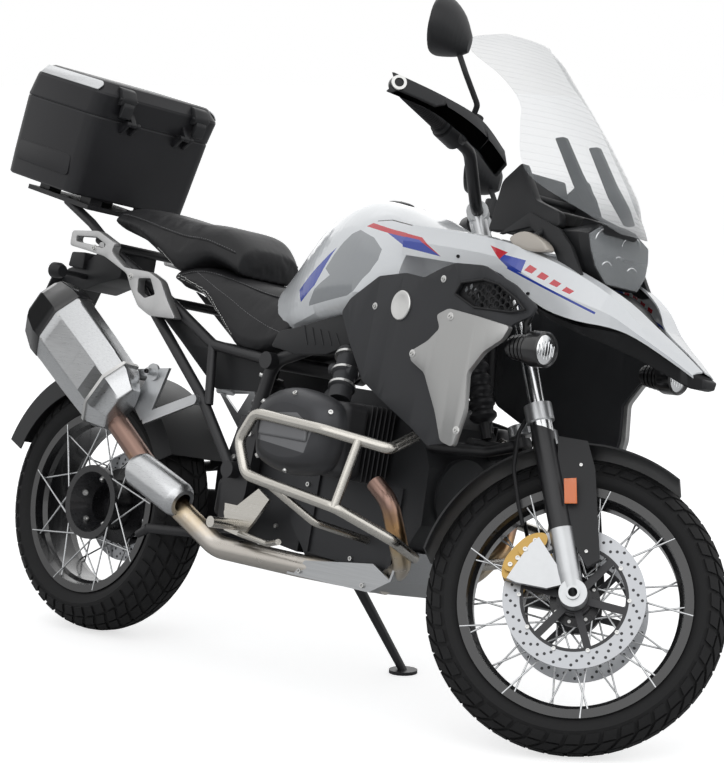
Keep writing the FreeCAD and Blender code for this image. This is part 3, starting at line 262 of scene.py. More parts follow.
def moulded(name, colour, roughness=0.5, grain=900, depth=0.00012, gloss=0.3):
    """Moulded plastic with a fine leathery grain and faint scuffs."""
    made = Finish(name)
    made.shade("Specular IOR Level", gloss)
    cells = made.node("TexVoronoi", {"Vector": made.place(), "Scale": grain}, feature="SMOOTH_F1")
    scuffs = made.noise(9, 5, 0.6)
    made.shade("Base Color", made.mix(scuffs, scaled(colour, 0.75), scaled(colour, 1.35)))
    made.shade("Roughness", scuffs * 0.16 + (roughness - 0.08))
    made.bump(cells + made.noise(grain * 0.4, 2) * 0.6, depth, 0.5)
    return made


def cast(name, colour, roughness=0.42, metallic=0.85, depth=0.00025):
    """Sand-cast or powder-coated metal."""
    made = Finish(name, Metallic=metallic)
    patches = made.noise(14, 5, 0.6)
    made.shade("Base Color", made.mix(patches, scaled(colour, 0.8), scaled(colour, 1.18)))
    made.shade("Roughness", patches * 0.2 + (roughness - 0.1))
    made.bump(made.noise(420, 3, 0.6), depth, 0.4)
    return made


def brushed(name, colour, along, roughness=0.3, depth=0.00008):
    """Metal brushed along a direction of the upright drawing."""
    made = Finish(name, Metallic=1.0)
    direction = (CHASSIS.to_3x3() @ Vector(along)).normalized()
    turn = direction.to_track_quat("X", "Z").inverted().to_matrix().to_euler()
    lines = made.node("Mapping", {"Vector": made.place(), "Rotation": tuple(turn), "Scale": (6, 420, 420)})
    streaks = made.noise(1, 3, 0.6, lines)
    made.shade("Base Color", made.mix(streaks, scaled(colour, 0.72), scaled(colour, 1.12)))
    made.shade("Roughness", streaks * 0.18 + (roughness - 0.09))
    made.bump(streaks, depth, 0.35)
    return made


def rubber(name, colour, roughness=0.72):
    made = Finish(name)
    made.shade("Specular IOR Level", 0.25)
    dust = made.noise(22, 5, 0.65)
    made.shade("Base Color", made.mix(dust, scaled(colour, 0.7), scaled(colour, 1.7)))
    made.shade("Roughness", dust * 0.14 + (roughness - 0.07))
    made.bump(made.noise(1400, 3), 0.00012, 0.5)
    return made


def striped_lacquer(name, colour, bands, joints_at=()):
    """Lacquer with flat colour bands on its flanks, and dark panel joints."""
    made = Finish(name, Coat_Roughness=0.06)
    flank = made.upright()[1].maths("ABSOLUTE") > 90
    shown = made.tones(colour, 0.03, 3)
    for tint, outlines in bands:
        shown = made.mix((made.inside(*outlines) > 0) * flank, shown, tint)
    height = made.noise(700, 2) * 0.03
    if joints_at:
        gap = (made.inside(*[stroke(a, b, 1.3) for a, b in joints_at]) > 0) * flank
        shown = made.mix(gap, shown, (0.02, 0.02, 0.022))
        height = height - gap
    made.shade("Base Color", shown)
    made.varnish(0.24, 0.7)
    made.bump(height, 0.0012, 0.3)
    return made


def stroke(a, b, half):
    """The four corners of a narrow band from a to b."""
    a, b = Vector(a), Vector(b)
    out = (b - a).orthogonal().normalized() * half
    return [tuple(a + out), tuple(a - out), tuple(b - out), tuple(b + out)]


def dress(obj, finish):
    obj.data.materials.clear()
    obj.data.materials.append(finish.material)
    for face in obj.data.polygons:
        face.material_index = 0


WHITE = (0.80, 0.82, 0.84)
BLACK = (0.010, 0.010, 0.011)
DARK = (0.019, 0.0195, 0.021)
SILVER = (0.50, 0.51, 0.52)
RED = (0.60, 0.012, 0.03)
BLUE = (0.02, 0.055, 0.42)
CHROME = (0.80, 0.81, 0.82)
GREY_BAND = (0.33, 0.345, 0.36)

black_lacquer = lacquer("black_lacquer", BLACK, 0.3, 0.35)
rim_lacquer = lacquer("rim_lacquer", BLACK, 0.26, 0.45)
panel_lacquer = lacquer("silver_panel_lacquer", (0.36, 0.36, 0.355), 0.34, 0.35, 0.7)
black_moulding = moulded("black_moulding", DARK, 0.46)
shroud_moulding = moulded("shroud_moulding", (0.030, 0.031, 0.034), 0.52)
case_moulding = moulded("case_moulding", (0.016, 0.016, 0.018), 0.4, 700)
grille_moulding = moulded("grille_moulding", (0.012, 0.012, 0.013), 0.6)
engine_casting = cast("engine_casting", (0.035, 0.036, 0.039), 0.5, 0.45)
fin_casting = cast("fin_casting", (0.022, 0.022, 0.024), 0.5, 0.35)
frame_coat = cast("frame_powder_coat", (0.020, 0.020, 0.022), 0.42, 0.15)
silver_casting = cast("silver_casting", SILVER, 0.34, 0.9)
grab_casting = cast("grab_handle_casting", (0.52, 0.52, 0.52), 0.38, 0.8)
guard_steel = brushed("guard_tube_steel", (0.55, 0.53, 0.49), (1, 0, 0), 0.26)
can_steel = brushed("silencer_steel", (0.58, 0.59, 0.60), (-0.8, 0, 0.6), 0.3)
skid_alloy = brushed("skid_plate_alloy", (0.46, 0.47, 0.48), (1, 0, 0), 0.38)
tyre_rubber = rubber("tyre_rubber", (0.013, 0.013, 0.0135))
hose_rubber = rubber("hose_rubber", (0.010, 0.010, 0.011), 0.5)
grip_rubber = rubber("grip_rubber", (0.012, 0.012, 0.0125), 0.6)
gold_anodised = cast("gold_anodised", (0.42, 0.27, 0.085), 0.36, 0.85)
seat_vinyl = moulded("seat_vinyl", (0.014, 0.014, 0.0152), 0.5, 620, 0.0002)
piping_vinyl = moulded("seat_piping_vinyl", (0.010, 0.010, 0.011), 0.55, 700)
white_thread = rubber("white_thread", (0.62, 0.62, 0.60), 0.8)
grey_thread = rubber("grey_thread", (0.20, 0.20, 0.205), 0.8)
screw_steel = cast("screw_steel", (0.58, 0.58, 0.57), 0.3, 0.95, 0.0001)
black_screw = cast("black_screw", (0.02, 0.02, 0.022), 0.4, 0.5, 0.0001)
mirror_chrome = cast("reflector_chrome", CHROME, 0.12, 1.0, 0.00003)
orange_lens = lacquer("orange_reflector", (0.80, 0.16, 0.01), 0.2, 0.8)
red_lens = lacquer("tail_lens", (0.50, 0.010, 0.012), 0.14, 0.9)
clear_lens = lacquer("indicator_lens", (0.55, 0.50, 0.44), 0.12, 0.9)
plate_enamel = lacquer("plate_enamel", (0.72, 0.73, 0.72), 0.35, 0.3)

tank_lacquer = striped_lacquer("tank_lacquer", WHITE, [
    (GREY_BAND, [[(131, 1057), (184, 1042), (223, 1017), (226, 992), (215, 963), (96, 1012), (114, 1045)],
                 [(215, 963), (177, 915), (155, 904), (70, 959), (96, 1012)],
                 [(155, 904), (-1, 866), (-11, 873), (42, 910), (70, 959)]]),
    (BLUE, [[(86, 1010), (54, 979), (41, 918), (59, 951)], [(54, 979), (-31, 905), (-15, 877), (41, 918)],
            [(205, 1064), (405, 1015), (262, 1034), (207, 1057)],
            [(205, 1068), (342, 1052), (405, 1015), (207, 1057)]]),
    (RED, [[(141, 1067), (150, 1077), (205, 1068), (209, 1057)],
           [(205, 1068), (342, 1052), (338, 1046), (209, 1057)],
           [(342, 1052), (405, 1015), (396, 1019), (338, 1046)]]),
], [((157, 1083), (185, 1090)), ((185, 1090), (300, 1076)), ((300, 1076), (376, 1061))])

blade_lacquer = striped_lacquer("blade_lacquer", WHITE, [
    (RED, [[(521, 1053), (570, 1042), (560, 1024)]]
        + [[(628 + 30 * k, 1022 - 12 * k), (646 + 30 * k, 1015 - 12 * k), (640 + 30 * k, 1003 - 10.6 * k),
            (622 + 30 * k, 1008 - 10.6 * k)]
           for k in range(4)]),
    (BLUE, [[(560, 1024), (565, 1036), (616, 1030), (618, 1001), (587, 1007)],
            stroke((582, 1009), (713, 965), 2.4), stroke((713, 965), (790, 939), 2.4),
            [(205, 1068), (342, 1052), (405, 1015), (262, 1030)]]),
    (RED, [[(205, 1068), (342, 1052), (338, 1046), (209, 1057)],
           [(342, 1052), (405, 1015), (396, 1019), (338, 1046)]]),
])


HOLES_A_ROW = 24


def ringed_steel(name, centre, matrix, inner, outer, rows):
    """Brake steel turned in fine rings and drilled between two radii, with
    a dark carrier inside."""
    made = Finish(name)
    far = made.reach(centre, matrix)
    x, _, z = made.upright(matrix)
    around = (z - centre.z).maths("ARCTAN2", x - centre.x) * (HOLES_A_ROW / math.tau)
    drilled = None
    for k, row in enumerate(rows):
        aside = ((around + k / 3 + 100).maths("FRACT") - 0.5) * (math.tau / HOLES_A_ROW * row)
        hole = (aside * aside + (far - row) * (far - row)) < 11.0
        drilled = hole if drilled is None else drilled.maths("MAXIMUM", hole)
    swept = far.within(inner, outer) * (1 - drilled)
    lines = made.noise(1, 2, 0.5, made.node("CombineXYZ", {0: far * 1.9, 1: 0.0, 2: 0.0}))
    made.shade("Base Color", made.mix(swept, made.tones((0.025, 0.025, 0.028), 0.2, 20),
                                      made.mix(lines, (0.30, 0.31, 0.325), (0.50, 0.51, 0.53))))
    made.shade("Metallic", swept * 0.9 + 0.1)
    made.shade("Roughness", lines * 0.12 + 0.34)
    made.bump(lines * swept, 0.00006, 0.5)
    return made


def spoked_finish(name, centre, matrix, flange):
    """Black hub casting with bright spokes beyond its flange."""
    made = Finish(name)
    wire_share = made.reach(centre, matrix) > flange
    patches = made.noise(60, 3)
    made.shade("Base Color", made.mix(wire_share, made.tones((0.018, 0.018, 0.02), 0.25, 18),
                                      made.mix(patches, (0.46, 0.47, 0.48), (0.66, 0.67, 0.68))))
    made.shade("Metallic", wire_share * 0.85 + 0.15)
    made.shade("Roughness", patches * 0.15 + 0.2)
    made.bump(made.noise(420, 3), 0.00012, 0.3)
    return made


def tinted_header():
    """Header steel, straw to brown where the gas is hottest."""
    made = Finish("header_steel", Metallic=1.0)
    z = made.upright()[2]
    streaks = made.noise(30, 4, 0.6)
    heat = (z - 300) * 0.006 + (streaks - 0.5) * 0.5
    stops = [(0.0, (0.52, 0.49, 0.45)), (0.35, (0.52, 0.42, 0.28)), (0.65, (0.42, 0.25, 0.12)),
             (1.0, (0.26, 0.17, 0.14))]
    made.shade("Base Color", made.node("ValToRGB", {0: heat}, stops=stops))
    made.shade("Roughness", streaks * 0.2 + 0.2)
    made.bump(made.noise(260, 3), 0.0001, 0.3)
    return made


def fork_tube_finish():
    """Bright plated tube above the black slider."""
    made = Finish("fork_tube_plating")
    plated = made.upright(FORK)[2] > 659
    wear = made.noise(12, 4)
    made.shade("Base Color", made.mix(plated, made.tones((0.016, 0.016, 0.018), 0.2, 16),
                                      made.tones((0.66, 0.67, 0.68), 0.04, 20)))
    made.shade("Metallic", plated * 0.9 + 0.1)
    made.shade("Roughness", wear * 0.1 + 0.3 - plated * 0.16)
    made.bump(made.noise(400, 2), 0.00005, 0.3)
    return made


def valve_cover_finish():
    """Dark casting with a paler satin panel in its middle."""
    made = Finish("valve_cover_casting", Metallic=0.6)
    face = made.inside([(98, 559), (108, 615), (204, 625), (256, 597), (242, 547)]) > -3
    panel = (made.upright()[1].maths("ABSOLUTE") > 352.5) * face
    patches = made.noise(14, 5, 0.6)
    dark = made.mix(patches, (0.040, 0.041, 0.044), (0.062, 0.063, 0.068))
    pale = made.mix(patches, (0.15, 0.152, 0.158), (0.20, 0.202, 0.21))
    made.shade("Base Color", made.mix(panel, dark, pale))
    made.shade("Roughness", patches * 0.16 + 0.34)
    made.bump(made.noise(520, 3, 0.6), 0.0002, 0.4)
    return made


def screen_plastic():
    """Clear screen, smoked towards its foot, darker at its edges."""
    made = Finish("screen_plastic", IOR=1.45)
    z = made.upright()[2]
    smoke = ((1230 - z) / 120).maths("MINIMUM", 1).maths("MAXIMUM", 0)
    rim = made.node("LayerWeight", {"Blend": 0.35}, output=1)
    streaks = made.noise(6, 3)
    made.shade("Base Color", made.mix(smoke, (0.50, 0.53, 0.55), (0.10, 0.105, 0.11)))
    made.shade("Alpha", rim * 0.30 + smoke * 0.38 + streaks * 0.04 + 0.05)
    made.shade("Roughness", streaks * 0.04 + 0.02)
    return made


def lamp_cover_plastic():
    """Clear lamp cover, denser towards its rim."""
    made = Finish("lamp_cover_plastic", IOR=1.45)
    rim = made.node("LayerWeight", {"Blend": 0.3}, output=1)
    haze = made.noise(8, 3)
    made.shade("Base Color", made.tones((0.62, 0.65, 0.67), 0.03, 5))
    made.shade("Alpha", rim * 0.35 + haze * 0.05 + 0.12)
    made.shade("Roughness", haze * 0.05 + 0.02)
    return made


front_disc_steel = ringed_steel("front_disc_steel", FRONT_AXLE, FORK, 116, 160, (126, 135, 144))
rear_disc_steel = ringed_steel("rear_disc_steel", REAR_AXLE, CHASSIS, 101, 150, (112, 121, 130))
front_spokes = spoked_finish("front_hub_and_spokes", FRONT_AXLE, FORK, 55.5)
rear_spokes = spoked_finish("rear_hub_and_spokes", REAR_AXLE, CHASSIS, 95)
lamp_cover = lamp_cover_plastic()
clear_plastic = screen_plastic()

# The CAD nodes that show, and the two cushions; the other nodes are dressed
# by the pieces that stand for them
node_finishes = {
    engine_casting: ["engine"],
    fin_casting: ["cylinders"],
    valve_cover_finish(): ["valve_covers"],
    frame_coat: ["subframe", "frame", "swing_arm", "case_carrier", "side_stand", "centre_stand", "handlebar",
                 "shocks", "front_wishbone"],
    silver_casting: ["fork_legs", "fork_yokes", "passenger_footrests", "front_axle"],
    guard_steel: ["pedals", "footrests"],
    tinted_header(): ["exhaust_pipes"],
    skid_alloy: ["skid_plate"],
    front_disc_steel: ["front_discs"],
    rear_disc_steel: ["rear_disc"],
    front_spokes: ["front_hub"],
    rear_spokes: ["rear_hub"],
    hose_rubber: ["brake_hoses"],
    gold_anodised: ["front_calipers"],
    fork_tube_finish(): ["fork_tubes"],
    rim_lacquer: ["front_rim", "rear_rim"],
    black_moulding: ["controls", "front_mudguard", "fork_covers", "rear_hugger"],
    seat_vinyl: ["rider_seat", "passenger_seat"],
}
for finish, names in node_finishes.items():
    for name in names:
        dress(nodes[name], finish)


# Shaping
def parking(body):
    """Where what is drawn upright for this body goes."""
    return FORK if body in ("fork", "front_wheel") else CHASSIS


def placed(name, data, finish, slot, body):
    """A piece of this mesh, dressed, on its body."""
    piece = bpy.data.objects.new(name, data)
    bpy.context.scene.collection.objects.link(piece)
    dress(piece, finish)
    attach(piece, body)
    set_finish(piece, slot)
    return piece


def shaped(mesh, name, finish, slot, body="chassis", matrix=None, crease=32):
    """Parks a shape drawn upright in millimetres, and dresses it."""
    bmesh.ops.transform(mesh, matrix=matrix or parking(body), verts=mesh.verts)
    for face in mesh.faces:
        face.smooth = True
    data = bpy.data.meshes.new(name)
    mesh.to_mesh(data)
    mesh.free()
    data.set_sharp_from_angle(angle=math.radians(crease))
    return placed(name, data, finish, slot, body)


def stand_in(mesh, name, finish, node, body="chassis", matrix=None, crease=32):
    """A piece that shows in place of a CAD node, and the same finish on it."""
    dress(nodes[node], finish)
    piece = shaped(mesh, name, finish, node, body, matrix, crease)
    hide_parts(node)
    return piece


def join(mesh, part):
    """Adds a part that was drawn by itself."""
    held = bpy.data.meshes.new("held")
    part.to_mesh(held)
    part.free()
    mesh.from_mesh(held)
    bpy.data.meshes.remove(held)


def verts_of(geom):
    return [item for item in geom if isinstance(item, bmesh.types.BMVert)]


def linked(verts, kind):
    """The edges or faces that meet these points, each once and in order."""
    return list(dict.fromkeys(item for vert in verts for item in getattr(vert, kind)))


def whole(mesh):
    return mesh.verts[:] + mesh.edges[:] + mesh.faces[:]


def bar(mesh, a, b, radius, far_radius=None, sides=20, chamfer=0.0):
    """A round bar between two points, its rims chamfered."""
    a, b = Vector(a), Vector(b)
    turn = (b - a).to_track_quat("Z", "Y").to_matrix().to_4x4()
    made = bmesh.ops.create_cone(mesh, cap_ends=True, segments=sides, radius1=radius,
                                 radius2=radius if far_radius is None else far_radius,
                                 depth=(b - a).length, matrix=Matrix.Translation((a + b) / 2) @ turn)["verts"]
    if chamfer:
        rims = [edge for edge in linked(made, "link_edges") if edge.calc_face_angle(0) > 1.0]
        bmesh.ops.bevel(mesh, geom=rims, offset=chamfer, segments=2, affect="EDGES", profile=0.5, material=-1)
    return made


def socket_bolt(mesh, foot, out, radius, height=None):
    """A cap screw with its socket, standing on a surface."""
    foot, out = Vector(foot), Vector(out).normalized()
    height = radius * 0.8 if height is None else height
    made = bar(mesh, foot - out * 1.5, foot + out * height, radius, radius * 0.9, 12)
    top = max(linked(made, "link_faces"), key=lambda face: face.calc_center_median().dot(out))
    bmesh.ops.inset_individual(mesh, faces=[top], thickness=radius * 0.4, depth=0)
    bmesh.ops.inset_individual(mesh, faces=[top], thickness=radius * 0.04, depth=-height * 0.7)


def slab(mesh, outline, y0, y1, chamfer=1.0):
    """A plate with this x, z outline between two values of y."""
    verts = [mesh.verts.new((x, y0, z)) for x, z in outline]
    face = mesh.faces.new(verts)
    far = bmesh.ops.extrude_face_region(mesh, geom=[face], use_keep_orig=True)["geom"]
    moved = verts_of(far)
    bmesh.ops.translate(mesh, verts=moved, vec=(0, y1 - y0, 0))
    own = verts + moved
    bmesh.ops.recalc_face_normals(mesh, faces=linked(own, "link_faces"))
    if chamfer:
        bmesh.ops.bevel(mesh, geom=linked(own, "link_edges"), offset=chamfer, segments=2, affect="EDGES",
                        profile=0.5, material=-1)
    return own


def lathe(mesh, section, centre, axis, steps=48):
    """A turned shape: its section is (radius, distance along the axis)."""
    axis = Vector(axis).normalized()
    side = axis.orthogonal().normalized()
    centre = Vector(centre)
    verts = [mesh.verts.new(centre + side * max(r, 0.001) + axis * s) for r, s in section]
    edges = [mesh.edges.new(pair) for pair in zip(verts, verts[1:])]
    bmesh.ops.spin(mesh, geom=verts + edges, cent=centre, axis=axis, angle=math.tau, steps=steps,
                   use_merge=True)
    bmesh.ops.remove_doubles(mesh, verts=mesh.verts, dist=0.01)
    bmesh.ops.recalc_face_normals(mesh, faces=mesh.faces)


def routed(points, radius, ring, along, caps=True):
    """The mesh of a round cord or tube through the points."""
    curve = bpy.data.curves.new("route", "CURVE")
    curve.dimensions = "3D"
    curve.bevel_depth = radius
    curve.bevel_resolution = ring
    curve.use_fill_caps = caps
    spline = curve.splines.new("NURBS")
    spline.points.add(len(points) - 1)
    for point, spot in zip(spline.points, points):
        point.co = (*spot, 1)
    spline.order_u = 3
    spline.use_endpoint_u = True
    spline.resolution_u = along
    holder = bpy.data.objects.new("route", curve)
    bpy.context.scene.collection.objects.link(holder)
    data = bpy.data.meshes.new_from_object(holder)
    bpy.data.objects.remove(holder)
    return data


def skin_of(obj):
    mesh = bmesh.new()
    mesh.from_mesh(obj.data)
    tree = BVHTree.FromBMesh(mesh)
    mesh.free()
    return tree


def landing(tree, start, toward, matrix=CHASSIS):
    """Where a straight line first meets a surface, with its outward normal,
    upright in millimetres."""
    back = matrix.inverted()
    origin = matrix @ Vector(start)
    line = (matrix.to_3x3() @ Vector(toward)).normalized()
    spot, normal = tree.ray_cast(origin, line)[:2]
    if spot is None:
        return None
    normal = (back.to_3x3() @ normal).normalized()
    return back @ spot, normal if normal.dot(Vector(toward)) < 0 else -normal


def on_circle(centre, radius, count, phase=0.0):
    return [(centre.x + radius * math.cos(math.tau * k / count + phase),
             centre.z + radius * math.sin(math.tau * k / count + phase))
            for k in range(count)]


def soften(mesh, offset, angle=40, segments=2):
    """Rounds every edge that turns more than this angle."""
    least = math.radians(angle)
    edges = [edge for edge in mesh.edges if len(edge.link_faces) == 2 and edge.calc_face_angle(0) > least]
    bmesh.ops.bevel(mesh, geom=edges, offset=offset, segments=segments, affect="EDGES", profile=0.5,
                    material=-1, clamp_overlap=True)


def both_sides(mesh):
    """The mesh with a left copy of what is drawn on the right."""
    copy = bmesh.ops.duplicate(mesh, geom=whole(mesh))["geom"]
    bmesh.ops.scale(mesh, vec=(1, -1, 1), verts=verts_of(copy))
    bmesh.ops.recalc_face_normals(mesh, faces=mesh.faces)
    return mesh


def eased(points, steps, loop=True):
    """Points along a smooth line through the given ones."""
    spots = [Vector(p) for p in points]
    count = len(spots)
    found = []
    for k in range(count if loop else count - 1):
        a, b, c, d = (spots[n % count] if loop else spots[min(max(n, 0), count - 1)]
                      for n in range(k - 1, k + 3))
        for step in range(steps):
            t = step / steps
            bend, twist = 2 * a - 5 * b + 4 * c - d, 3 * b - a - 3 * c + d
            found.append(0.5 * (2 * b + (c - a) * t + bend * t * t + twist * t ** 3))
    return found if loop else found + [spots[-1]]


def through(rings, along):
    """More rings, on smooth lines through the matching points."""
    lines = [eased(line, along, loop=False) for line in zip(*rings)]
    return [list(ring) for ring in zip(*lines)]


def drawn(mesh, rings):
    """A closed form pulled from ring to ring; gives back its last face."""
    rings = [[Vector(p) for p in ring] for ring in rings]
    face = mesh.faces.new([mesh.verts.new(p) for p in rings[0]])
    for last, ring in zip(rings, rings[1:]):
        grown = bmesh.ops.extrude_face_region(mesh, geom=[face], use_keep_orig=last is rings[0])["geom"]
        face = next(item for item in grown if isinstance(item, bmesh.types.BMFace))
        for vert in face.verts:
            nearest = min(range(len(last)), key=lambda k: (vert.co - last[k]).length_squared)
            vert.co = ring[nearest]
    bmesh.ops.recalc_face_normals(mesh, faces=mesh.faces)
    return face


def ribbed(stations, around=4, along=5):
    """Rings of a smooth symmetric body: each station is x and its half
    outline from the top down, as y, z pairs."""
    rings = []
    for x, half in stations:
        left = [(x, y, z) for y, z in half]
        right = [(x, -y, z) for y, z in reversed(half) if y > 0]
        rings.append(eased(left + right, around))
    return through(rings, along)


BEND_STEP = 16


def panel(mesh, outline, plan, wall, corner=6, windows=(), edge=1.2):
    """A panel with this x, z outline, bent along its plan of x, y points."""
    build = bmesh.new()
    for points, soft in [(outline, corner)] + [(window, corner * 0.6) for window in windows]:
        face = build.faces.new([build.verts.new((x, 0, z)) for x, z in points])
        bmesh.ops.bevel(build, geom=face.verts[:], offset=soft, segments=3, affect="VERTICES", profile=0.5,
                        material=-1)
    if windows:
        bmesh.ops.delete(build, geom=build.faces[:], context="FACES_KEEP_BOUNDARY")
        bmesh.ops.triangle_fill(build, edges=build.edges[:], use_beauty=True, use_dissolve=False)
    line = eased([(x, y, 0) for x, y in plan], 8, loop=False)
    if len(plan) > 2:
        low, high = min(x for x, z in outline), max(x for x, z in outline)
        for k in range(1, int((high - low) / BEND_STEP)):
            bmesh.ops.bisect_plane(build, geom=whole(build), plane_co=(low + BEND_STEP * k, 0, 0),
                                   plane_no=(1, 0, 0))
    for vert in build.verts:
        a, b = next(((a, b) for a, b in zip(line, line[1:]) if vert.co.x <= b.x), (line[-2], line[-1]))
        vert.co.y = a.y + (b.y - a.y) * (vert.co.x - a.x) / (b.x - a.x)
    grown = bmesh.ops.extrude_face_region(build, geom=build.faces[:], use_keep_orig=True)["geom"]
    bmesh.ops.translate(build, verts=verts_of(grown), vec=(0, wall, 0))
    bmesh.ops.recalc_face_normals(build, faces=build.faces)
    if edge:
        soften(build, edge, 50)
    join(mesh, build)


def plain_plan(y):
    return [(-3000, y), (3000, y)]


def cornered(points, back):
    """The points with each corner cut back, for a bar bent at each."""
    spots = [Vector(p) for p in points]
    found = [spots[0], spots[0].lerp(spots[1], 0.3)]
    for a, b, c in zip(spots, spots[1:], spots[2:]):
        found += [b + (a - b).normalized() * min(back, (a - b).length * 0.42), b,
                  b + (c - b).normalized() * min(back, (c - b).length * 0.42)]
    return found + [spots[-1].lerp(spots[-2], 0.3), spots[-1]]


def swept(mesh, points, radius, back=30, sides=12):
    """A round bar bent along the points, added to a shape."""
    data = routed(cornered(points, back), radius, sides // 4, 4)
    mesh.from_mesh(data)
    bpy.data.meshes.remove(data)


# Tank and seats
def build_tank():
    """Tank shell and filler cap."""
    mesh = bmesh.new()
    drawn(mesh, ribbed((
        (-226, [(0, 892), (40, 888), (70, 868), (84, 834), (70, 800), (0, 790)]),
        (-130, [(0, 1004), (50, 996), (96, 958), (128, 888), (118, 812), (0, 776)]),
        (-30, [(0, 1098), (66, 1092), (132, 1046), (178, 950), (164, 836), (0, 806)]),
        (50, [(0, 1140), (78, 1134), (152, 1084), (204, 985), (190, 862), (0, 826)]),
        (140, [(0, 1134), (84, 1128), (160, 1086), (214, 1000), (204, 884), (0, 850)]),
        (220, [(0, 1110), (82, 1104), (156, 1070), (210, 1000), (204, 900), (0, 880)]),
        (290, [(0, 1080), (76, 1076), (144, 1050), (196, 1004), (190, 930), (0, 960)]),
    )))
    stand_in(mesh, "tank_shell", tank_lacquer, "tank")
    mesh = bmesh.new()
    lathe(mesh, [(0, 11), (20, 11), (30, 8), (34, 3), (35, -6), (0, -6)], (66, 0, 1137), (0.02, 0, 1))
    bar(mesh, (66, -3, 1146), (66, 14, 1146), 4, chamfer=1)
    shaped(mesh, "filler_cap", black_moulding, "tank")


PAD_SWELL = 0.005
PAD_VOXEL = 0.006
FOAM_PRESSURE = 4
FOAM_FRAMES = 20


def padded_seat(name, node, stations):
    """A foam pad: an even mesh swollen a little by cloth pressure."""
    mesh = bmesh.new()
    drawn(mesh, ribbed(stations))
    piece = shaped(mesh, name, seat_vinyl, node)
    evened = piece.modifiers.new("even_mesh", "REMESH")
    evened.mode = "VOXEL"
    evened.voxel_size = PAD_VOXEL
    graph = bpy.context.evaluated_depsgraph_get()
    piece.data = bpy.data.meshes.new_from_object(piece.evaluated_get(graph))
    piece.modifiers.clear()
    dress(piece, seat_vinyl)
    foam = piece.modifiers.new("foam", "CLOTH")
    foam.settings.use_pressure = True
    foam.settings.uniform_pressure_force = FOAM_PRESSURE
    foam.settings.effector_weights.gravity = 0
    for moment in range(1, FOAM_FRAMES + 1):
        bpy.context.scene.frame_set(moment)
    graph = bpy.context.evaluated_depsgraph_get()
    moved = [vert.co.copy() for vert in piece.evaluated_get(graph).data.vertices]
    piece.modifiers.clear()
    bpy.context.scene.frame_set(1)
    for vert, spot in zip(piece.data.vertices, moved):
        step = spot - vert.co
        vert.co += step * min(1, PAD_SWELL / max(step.length, 1e-9))
    for face in piece.data.polygons:
        face.use_smooth = True
    skin = piece.modifiers.new("skin", "SUBSURF")
    skin.levels = skin.render_levels = 1
    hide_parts(node)
    return piece


WIDE_STITCH = (4.4, 2.6, 0.75)
FINE_STITCH = (4.0, 2.8, 0.6)


def sewn(name, tree, points, offset, finish, stitch=FINE_STITCH, node="rider_seat"):
    """Two sides of stitches laid on a pad beside a seam line."""
    length, gap, thick = stitch
    mesh = bmesh.new()
    for side in (-1, 1):
        line = eased([(x, y * -side, z) for x, y, z in points], 24, loop=False)
        left = 0.0
        for a, b in zip(line, line[1:]):
            run = (b - a).length
            while left < run:
                spot = a.lerp(b, left / run)
                left += length + gap
                place, out = tree.find_nearest(CHASSIS @ spot)[:2]
                place = CHASSIS.inverted() @ place
                out = (CHASSIS.inverted().to_3x3() @ out).normalized()
                along = (b - a).normalized()
                aside = out.cross(along).normalized()
                foot = place + aside * offset + out * 0.35
                bar(mesh, foot - along * length / 2, foot + along * length / 2, thick, sides=6)
            left -= run
    shaped(mesh, name, finish, node)


def piped(name, tree, points, radius, finish, node="rider_seat"):
    """Piping on both sides of a pad."""
    for side, word in ((-1, "right"), (1, "left")):
        line = []
        for spot in eased([(x, y * -side, z) for x, y, z in points], 3, loop=False):
            place, out = tree.find_nearest(CHASSIS @ spot)[:2]
            line.append(place + out * 0.0004)
        data = routed(line, radius * 0.001, 2, 12, False)
        for face in data.polygons:
            face.use_smooth = True
        placed(word + "_" + name, data, finish, node, "chassis")


